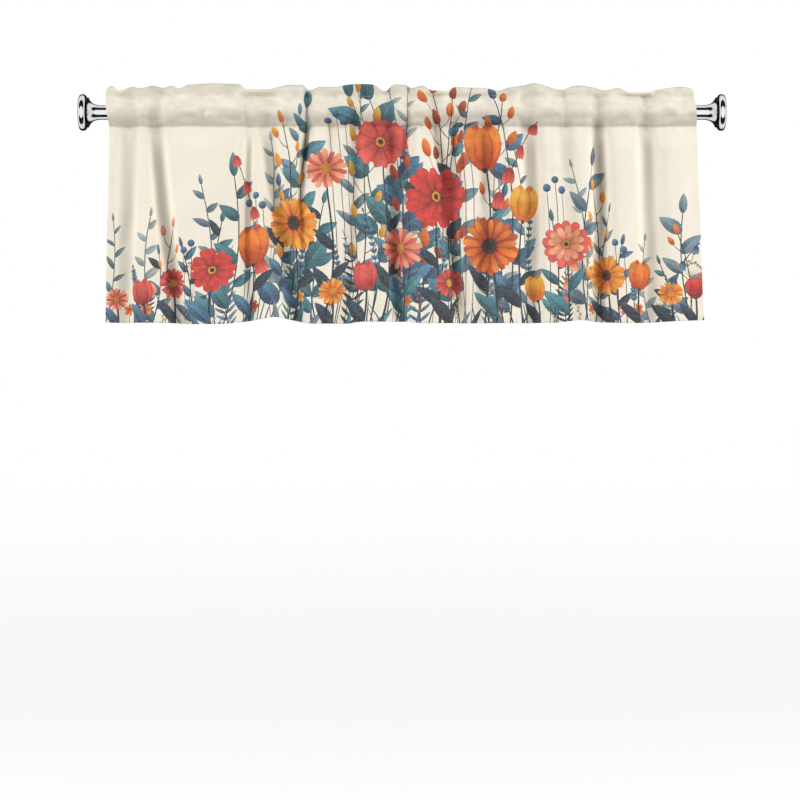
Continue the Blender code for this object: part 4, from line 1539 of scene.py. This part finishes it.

# %% [markdown]
# ## The printed finish
# The cloth is a linen-look weave: threads across and down it, some of them thicker (slubs), which show as
# faint streaks.  The ink sinks into it, so the weave shows through the print too.
#
# One formula tints every patch of ink by its style.  A petal runs from deep to light with fine veins, a
# leaf has a midrib and side veins, an eye is speckled, and all of it is a little uneven, like
# watercolour.
#
# Little light comes into a tight gather.  The finish helps the lamps with painted shade of its own: darker
# in the furrows, over the pocket, more in the ruffle and most along the ruffle's top edge.

# %% Printed cloth
THREADS = 1 / 0.85 / MM  # per metre
SLUB_SCALE = (55, 900.0)  # of the noise, along a thread and across it
WEAVE_DEPTH = 0.10 * MM
HOLLOW_PAINTED_SHADE = 0.78  # painted shade: share of the cloth's colour left at the bottom of a furrow, where little light comes in
HOLLOW_PANEL = 18.0  # millimetres deep, for a furrow in the hanging part to be as dark as that
HOLLOW_POCKET = 13.0  # and in the pocket and the ruffle
POCKET_PAINTED_SHADE = 0.88  # painted shade over the pocket and all the cloth above the lower seam
RUFFLE_PAINTED_SHADE = 0.78  # painted shade in the tight gathers of the ruffle
TOP_EDGE_PAINTED_SHADE = 0.62  # painted shade along the ruffle's top edge, which turns away from the light
FRONT_COVER = 0.97  # share of the ink's strength on the printed side
BACK_COVER = 0.42


def weave_height(recipe, flat):
    """Threads over and under each other, with thicker ones here and there."""
    across = recipe.noise(recipe.stretched(flat, (*SLUB_SCALE, 0)), 1.0, 2.0)
    down = recipe.noise(recipe.stretched(flat, (*SLUB_SCALE[::-1], 0)), 1.0, 2.0)
    x, y, _ = recipe.parts(flat)
    warp = recipe.math("SINE", recipe.math("MULTIPLY", x, math.tau * THREADS))
    weft = recipe.math("SINE", recipe.math("MULTIPLY", y, math.tau * THREADS))
    plain = recipe.math("MULTIPLY", warp, weft)
    slubs = recipe.math("ADD", across, recipe.math("MULTIPLY", down, 0.6))
    return recipe.math("MULTIPLY_ADD", plain, 0.18, slubs)


def style_is(recipe, style, number):
    return recipe.math("COMPARE", style, float(number), 0.4)


def tone_of_ink(recipe, along, across, style, flat):
    """0 for the deep tone, 1 for the light one."""
    edge = recipe.math("ABSOLUTE", across)
    blade_place = recipe.vector(recipe.math("MULTIPLY", across, 5.0), along, 0.0)
    own = recipe.stretched(flat, (38, 38, 38))
    streaks = recipe.noise(recipe.vector_math("ADD", blade_place, own), 1.6, 3.0)

    petal = recipe.between(along, -0.02, 0.95)
    petal = recipe.math("MULTIPLY_ADD", recipe.math("SUBTRACT", streaks, 0.5), 1.1, petal)
    petal = recipe.math("SUBTRACT", petal, recipe.between(edge, 0.6, 1.0, 0.0, 0.42))

    sway = recipe.math("MULTIPLY_ADD", edge, -0.9, recipe.math("MULTIPLY", along, 7.0))
    from_vein = recipe.math("ABSOLUTE", recipe.math("SUBTRACT", recipe.math("FRACT", sway), 0.5))
    vein = recipe.between(from_vein, 0.0, 0.14, 0.22, 0.0)
    midrib = recipe.between(edge, 0.03, 0.13, 0.34, 0.0)
    half = recipe.between(across, -0.12, 0.12, -0.10, 0.14)
    leaf = recipe.math("ADD", recipe.between(along, 0.0, 1.05, 0.02, 0.66), half)
    leaf = recipe.math("ADD", leaf, recipe.math("MAXIMUM", vein, midrib))
    leaf = recipe.math("MULTIPLY_ADD", recipe.math("SUBTRACT", streaks, 0.5), 0.8, leaf)

    grains = recipe.node("ShaderNodeTexVoronoi", {"Vector": flat, "Scale": 520.0}).outputs["Distance"]
    eye = recipe.between(grains, 0.15, 0.6, 0.95, 0.1)
    bud = recipe.math("MULTIPLY_ADD", across, 0.22, recipe.between(along, 0.0, 1.0, 0.15, 0.9))
    stalk = recipe.math("MULTIPLY", streaks, 0.3)
    berry = recipe.math("MULTIPLY_ADD", across, -0.22, recipe.between(along, -1.0, 1.0, 0.1, 0.7))
    total = 0.0
    for number, tone in ((STEM, stalk), (LEAF, leaf), (PETAL, petal), (EYE, eye), (BUD, bud), (BERRY, berry)):
        total = recipe.math("MULTIPLY_ADD", style_is(recipe, style, number), tone, total)
    return recipe.math("ADD", total, 0.0, clamp=True)


def painted_shade_of_folds(recipe, flat, side):
    """Painted shade of the gathered cloth, on its printed side (0) or its reverse (1): darker in the furrows,
    over the pocket, in the ruffle and along its top edge.
    """
    up = recipe.parts(flat)[1]
    above_lower_seam = recipe.between(up, FRONT_LOWER - 0.5 * MM, FRONT_LOWER + 0.5 * MM)
    # painted shade: the deeper a point lies in its furrow, the darker its colour
    depth = recipe.parts(recipe.attribute("hollow"))[side]
    depth = recipe.math("DIVIDE", depth, recipe.either(above_lower_seam, HOLLOW_PANEL, HOLLOW_POCKET), clamp=True)
    shadow = recipe.math("MULTIPLY_ADD", depth, HOLLOW_PAINTED_SHADE - 1, 1.0)
    # painted shade over the pocket and everything above the lower seam, made uneven in patches
    patchy_shade = recipe.between(recipe.noise(recipe.stretched(flat, (32, 54, 0)), 1.0), 0.32, 0.68, -0.055, 0.045)
    pocket = recipe.math("MULTIPLY_ADD", above_lower_seam, recipe.math("ADD", patchy_shade, POCKET_PAINTED_SHADE - 1), 1.0)
    # painted shade in the ruffle, which begins along a ragged line near the upper seam
    wander = recipe.math("MULTIPLY_ADD", recipe.noise(flat, 24.0), 60 * MM, -30 * MM)
    ragged = recipe.math("ADD", up, wander)
    ruffle_shade_ratio = RUFFLE_PAINTED_SHADE / POCKET_PAINTED_SHADE
    ruffle = recipe.between(ragged, FRONT_UPPER - 8 * MM, FRONT_UPPER + 12 * MM, 1.0, ruffle_shade_ratio)
    # painted shade along the folded top edge
    from_top = recipe.math("ABSOLUTE", recipe.math("SUBTRACT", up, TOP_EDGE))
    top = recipe.between(from_top, 0.5 * MM, 1.8 * MM, TOP_EDGE_PAINTED_SHADE, 1.0)
    for tone in (pocket, ruffle, top):
        shadow = recipe.math("MULTIPLY", shadow, tone)
    return shadow


def printed_cloth(name, cover, side):
    """The cloth's finish on its printed side (0) or its reverse (1)."""
    material, recipe, shader = new_material(name)
    flat = recipe.attribute("flat")
    along, across, style = recipe.parts(recipe.attribute("drawn"))
    height = weave_height(recipe, flat)
    tone = tone_of_ink(recipe, along, across, style, flat)
    ink = recipe.blend(tone, recipe.attribute("deep_ink"), recipe.attribute("light_ink"))
    pooled = recipe.noise(flat, 42.0, 4.0)
    ink = recipe.blend(1.0, ink, recipe.between(pooled, 0.3, 0.7, 0.84, 1.14), "MULTIPLY")
    inked = recipe.math("GREATER_THAN", style, 0.5)
    sunk = recipe.between(height, 0.5, 1.2, 1.0, 0.88)
    strength = recipe.math("MULTIPLY", recipe.math("MULTIPLY", inked, sunk), cover)
    # painted light and shade of the weave: darker low between the threads, a little lighter on raised threads
    # and slubs; then the painted shade of the folds on top
    shade = recipe.between(height, 0.45, 1.15, 0.955, 1.02)
    shade = recipe.math("MULTIPLY", shade, painted_shade_of_folds(recipe, flat, side))
    cloth = recipe.blend(1.0, recipe.blend(strength, GROUND_COLOUR, ink), shade, "MULTIPLY")
    bump = recipe.node("ShaderNodeBump", {"Height": height, "Strength": 0.5, "Distance": WEAVE_DEPTH})
    roughness = recipe.between(height, 0.4, 1.2, 0.92, 0.80)
    recipe.feed(shader, {"Base Color": cloth, "Normal": bump.outputs[0], "Roughness": roughness})
    recipe.feed(shader, {"Sheen Weight": 0.05, "Sheen Roughness": 0.5, "Specular IOR Level": 0.12})
    return material


sheet.data.materials[0] = printed_cloth("printed_face", FRONT_COVER, 0)
sheet.data.materials[1] = printed_cloth("cloth_reverse", BACK_COVER, 1)
sheet.visible_glossy = False  # the chrome is kept clear of its colours
print("cloth finished")
# %% [markdown]
# ## Stitches
# Two lines of lock stitch hold the pocket and one holds the hem.  The hem's stitches catch only a thread
# of the front, so they show on the back alone.  A stitch is a short length of thread lying on the cloth,
# and hundreds repeat along a line, so Geometry Nodes make them: the line is cut into even steps and one
# small capsule is laid along each.

# %% A tree that sews along a line
THREAD_RADIUS = 0.22 * MM
STITCH_LENGTH = 2.5 * MM
STITCH_PITCH = 3.3 * MM
HEM_STITCHING = 3 * MM - HEM_TURN  # on the turned-up part, so it is below zero
SEWING_STEP = 1.0 * MM
SEWING_MARGIN = 4 * MM  # from the side edges


def sewing_tree(finish):
    """Lays one capsule of thread along every even step of a line."""
    tree = bpy.data.node_groups.new("sew_along_line", "GeometryNodeTree")
    tree.interface.new_socket("Line", in_out="INPUT", socket_type="NodeSocketGeometry")
    for name, value in (("Pitch", STITCH_PITCH), ("Length", STITCH_LENGTH), ("Thread Radius", THREAD_RADIUS)):
        tree.interface.new_socket(name, in_out="INPUT", socket_type="NodeSocketFloat").default_value = value
    tree.interface.new_socket("Stitches", in_out="OUTPUT", socket_type="NodeSocketGeometry")
    recipe = Recipe(tree)
    given = recipe.node("NodeGroupInput").outputs
    curve = recipe.node("GeometryNodeMeshToCurve", {"Mesh": given["Line"]}).outputs[0]
    even = recipe.node("GeometryNodeResampleCurve", {"Curve": curve, "Length": given["Pitch"]}, mode="LENGTH")
    thread = recipe.node("GeometryNodeMeshUVSphere", {"Segments": 6, "Rings": 5, "Radius": 1.0}).outputs[0]
    length = recipe.math("MULTIPLY", given["Length"], 0.5)
    size = recipe.vector(given["Thread Radius"], given["Thread Radius"], length)
    shaped = recipe.node("GeometryNodeTransform", {"Geometry": thread, "Scale": size}).outputs[0]
    tangent = recipe.node("GeometryNodeInputTangent").outputs[0]
    turn = recipe.node("FunctionNodeAlignRotationToVector", {"Vector": tangent}, axis="Z").outputs[0]
    stitch = {"Points": even.outputs[0], "Instance": shaped, "Rotation": turn}
    laid = recipe.node("GeometryNodeInstanceOnPoints", stitch)
    real = recipe.node("GeometryNodeRealizeInstances", {"Geometry": laid.outputs[0]}).outputs[0]
    dressed = recipe.node("GeometryNodeSetMaterial", {"Geometry": real, "Material": finish}).outputs[0]
    recipe.node("NodeGroupOutput", {"Stitches": dressed})
    return tree


def thread_finish():
    material, recipe, shader = new_material("sewing_thread")
    twist = recipe.noise(recipe.own_place(), 900.0)
    colour = recipe.blend(twist, (*linear("E6DCC6"), 1.0), (*linear("FBF5E8"), 1.0))
    recipe.feed(shader, {"Base Color": colour, "Roughness": 0.7})
    return material


def sewn(name, up, tree):
    """One line of stitches at a height of the flat cloth, lying on its outer face."""
    across = np.arange(-0.5 * CUT_WIDTH + SEWING_MARGIN, 0.5 * CUT_WIDTH - SEWING_MARGIN, SEWING_STEP)
    lift = 0.5 * THICKNESS + 0.2 * THREAD_RADIUS
    line = hang(across, up) + lift * facing(across, up)
    piece = new_piece(name, line, chain(line), [])
    piece.modifiers.new("sewing", "NODES").node_group = tree
    made_plain(piece)
    piece.data.shade_smooth()
    print(name, len(piece.data.polygons), "faces")
    return piece


sewing = sewing_tree(thread_finish())
stitches = [
    sewn("stitches_under_pocket", FRONT_LOWER, sewing),
    sewn("stitches_over_pocket", FRONT_UPPER, sewing),
    sewn("stitches_along_hem", HEM_STITCHING, sewing),
]
# %% [markdown]
# ## The rod and its ends
# The rod is a steel tube and the ends are turned and plugged into it, all chrome plated.  A turned piece
# is one profile spun round an axis, which is what Blender's Screw modifier does at a full turn.  The
# profile here has the same sizes as the solid underneath, with more points where it is round.

# %% Sizes of the turned pieces
rod_low, rod_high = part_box("rod")
ROD_HALF = 0.5 * (rod_high.x - rod_low.x)
ROD_WALL = 1.0 * MM
NECK_RADIUS = 14.4 * MM
FLARE_RADIUS = 29.6 * MM  # the trumpet's wide rim
FLARE_LENGTH = 20 * MM
FLARE_CURVE = 6.5 * MM  # how soon the trumpet narrows behind its rim
GROOVE_RADIUS = 29 * MM
GROOVE_WIDTH = 3.4 * MM
GROOVE_EDGE = 0.4 * MM  # bevel at each side of it
CAP_RADIUS = 35.5 * MM
CAP_THICKNESS = 14.6 * MM
CAP_ROUND = 6.5 * MM
CAP_DOME = 2 * MM
SPIGOT_LENGTH = 22 * MM
CLEARANCE = 0.3 * MM
TURN_STEPS = 112


def arc(centre, radius, start, end, count):
    """Points of a round corner, angles in degrees from the profile's outward direction."""
    angles = np.radians(np.linspace(start, end, count))
    return [(centre[0] + radius * math.cos(a), centre[1] + radius * math.sin(a)) for a in angles]


def end_profile():
    """(radius, height) of cap, groove, trumpet and spigot, from the outer end in."""
    cap_back = FLARE_LENGTH + GROOVE_WIDTH
    cap_front = cap_back + CAP_THICKNESS
    flat = CAP_RADIUS - CAP_ROUND
    dome = [(flat * share, cap_front + CAP_DOME * (1 - share**2)) for share in np.linspace(0, 0.97, 9)]
    points = dome + arc((flat, cap_front - CAP_ROUND), CAP_ROUND, 86, 0, 13)
    points += arc((flat, cap_back + CAP_ROUND), CAP_ROUND, -4, -86, 12)
    points += [(GROOVE_RADIUS + GROOVE_EDGE, cap_back), (GROOVE_RADIUS, cap_back - GROOVE_EDGE)]
    points += [(GROOVE_RADIUS, FLARE_LENGTH + GROOVE_EDGE), (FLARE_RADIUS, FLARE_LENGTH)]
    tail = math.exp(-FLARE_LENGTH / FLARE_CURVE)
    for back in np.linspace(0.5 * MM, FLARE_LENGTH - CLEARANCE, 28):
        narrowing = (math.exp(-back / FLARE_CURVE) - tail) / (1 - tail)
        points.append((NECK_RADIUS + (FLARE_RADIUS - NECK_RADIUS) * narrowing, FLARE_LENGTH - back))
    spigot = ROD_RADIUS - ROD_WALL - CLEARANCE
    return points + [(spigot, CLEARANCE), (spigot, -SPIGOT_LENGTH), (0.0, -SPIGOT_LENGTH)]


def tube_profile():
    """The tube's wall, from one end to the other and back to where it starts."""
    bore, soft = ROD_RADIUS - ROD_WALL, 0.25 * MM
    points = [(bore, ROD_HALF - soft), (bore + soft, ROD_HALF), (ROD_RADIUS - soft, ROD_HALF)]
    points += [(ROD_RADIUS, height) for height in np.linspace(ROD_HALF - soft, soft - ROD_HALF, 60)]
    points += [(ROD_RADIUS - soft, -ROD_HALF), (bore + soft, -ROD_HALF), (bore, soft - ROD_HALF)]
    return points + [points[0]]


# %% [markdown]
# The profile is spun round the upright axis and then laid along the rod.  The left end is the right one
# turned round, not mirrored, so that its faces still point outwards.

# %% Spin the pieces
def turned(name, profile, side=1, shift=0.0):
    """A profile spun into a piece, laid along the rod towards one side (-1 left, 1 right) and shifted."""
    piece = new_piece(name, [(r, 0.0, h) for r, h in profile], chain(profile), [])
    screw = piece.modifiers.new("turn", "SCREW")
    screw.steps = screw.render_steps = TURN_STEPS
    screw.use_merge_vertices = True
    screw.merge_threshold = 0.00001
    screw.use_smooth_shade = True
    made_plain(piece)
    x, y, z = values_of(piece.data.vertices, "co", 3).T
    piece.data.vertices.foreach_set("co", np.column_stack([side * z + shift, y, -side * x]).ravel())
    piece.data.update()
    piece.data.set_sharp_from_angle(angle=math.radians(40))
    print(name, len(piece.data.polygons), "faces")
    return piece


rod = turned("chrome_rod", tube_profile())
rod_ends = [
    turned("chrome_end_left", end_profile(), -1, -ROD_HALF),
    turned("chrome_end_right", end_profile(), 1, ROD_HALF),
]

# %% [markdown]
# ## Chrome
# Chrome is a mirror with a cool tint.  What makes it real is how little is wrong with it: polishing marks
# round the piece, a faint waviness in the tube, and a slight haze where hands have been.  The groove
# between the cap and the trumpet is coloured near black.

# %% Chrome finish
CHROME_COLOUR = (0.83, 0.84, 0.86, 1.0)
HAZE_COLOUR = (0.76, 0.78, 0.81, 1.0)
GROOVE_COLOUR = (0.012, 0.012, 0.013, 1.0)


def chrome():
    material, recipe, shader = new_material("chrome_plate")
    place = recipe.own_place()
    haze = recipe.noise(place, 30.0, 3.0)
    polish = recipe.noise(recipe.stretched(place, (2600, 90, 90)), 1.0, 2.0)
    roughness = recipe.math("MULTIPLY_ADD", polish, 0.03, recipe.between(haze, 0.35, 0.75, 0.035, 0.10))
    waves = recipe.noise(recipe.stretched(place, (7, 40, 40)), 1.0, 1.0)
    bump = recipe.node("ShaderNodeBump", {"Height": waves, "Strength": 0.25, "Distance": 0.4 * MM})
    tint = recipe.blend(recipe.between(haze, 0.3, 0.8, 0.0, 0.5), CHROME_COLOUR, HAZE_COLOUR)
    groove_middle = ROD_HALF + FLARE_LENGTH + GROOVE_WIDTH / 2
    off_middle = recipe.math("SUBTRACT", recipe.math("ABSOLUTE", recipe.parts(place)[0]), groove_middle)
    beside = recipe.math("ABSOLUTE", off_middle)
    in_groove = recipe.between(beside, GROOVE_WIDTH / 2 + 0.2 * MM, GROOVE_WIDTH / 2 + 1.0 * MM, 1.0, 0.0)
    tint = recipe.blend(in_groove, tint, GROOVE_COLOUR)
    recipe.feed(shader, {"Base Color": tint, "Roughness": roughness, "Normal": bump.outputs[0]})
    recipe.feed(shader, {"Metallic": 1.0})
    return material


chrome_plate = chrome()
for piece in [rod, *rod_ends]:
    piece.data.materials.append(chrome_plate)
# %% [markdown]
# ## Handing the pieces over
# Every piece rides on the one body and stands for its solid, which is hidden.

# %% Join the pieces to the solids
for piece, node, slot in (
    (sheet, "valance_cloth", "printed_cloth"),
    (rod, "rod", "chrome"),
    (rod_ends[0], "finial_left", "chrome"),
    (rod_ends[1], "finial_right", "chrome"),
):
    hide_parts(node)
    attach(piece, "root")
for piece in stitches:
    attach(piece, "root")
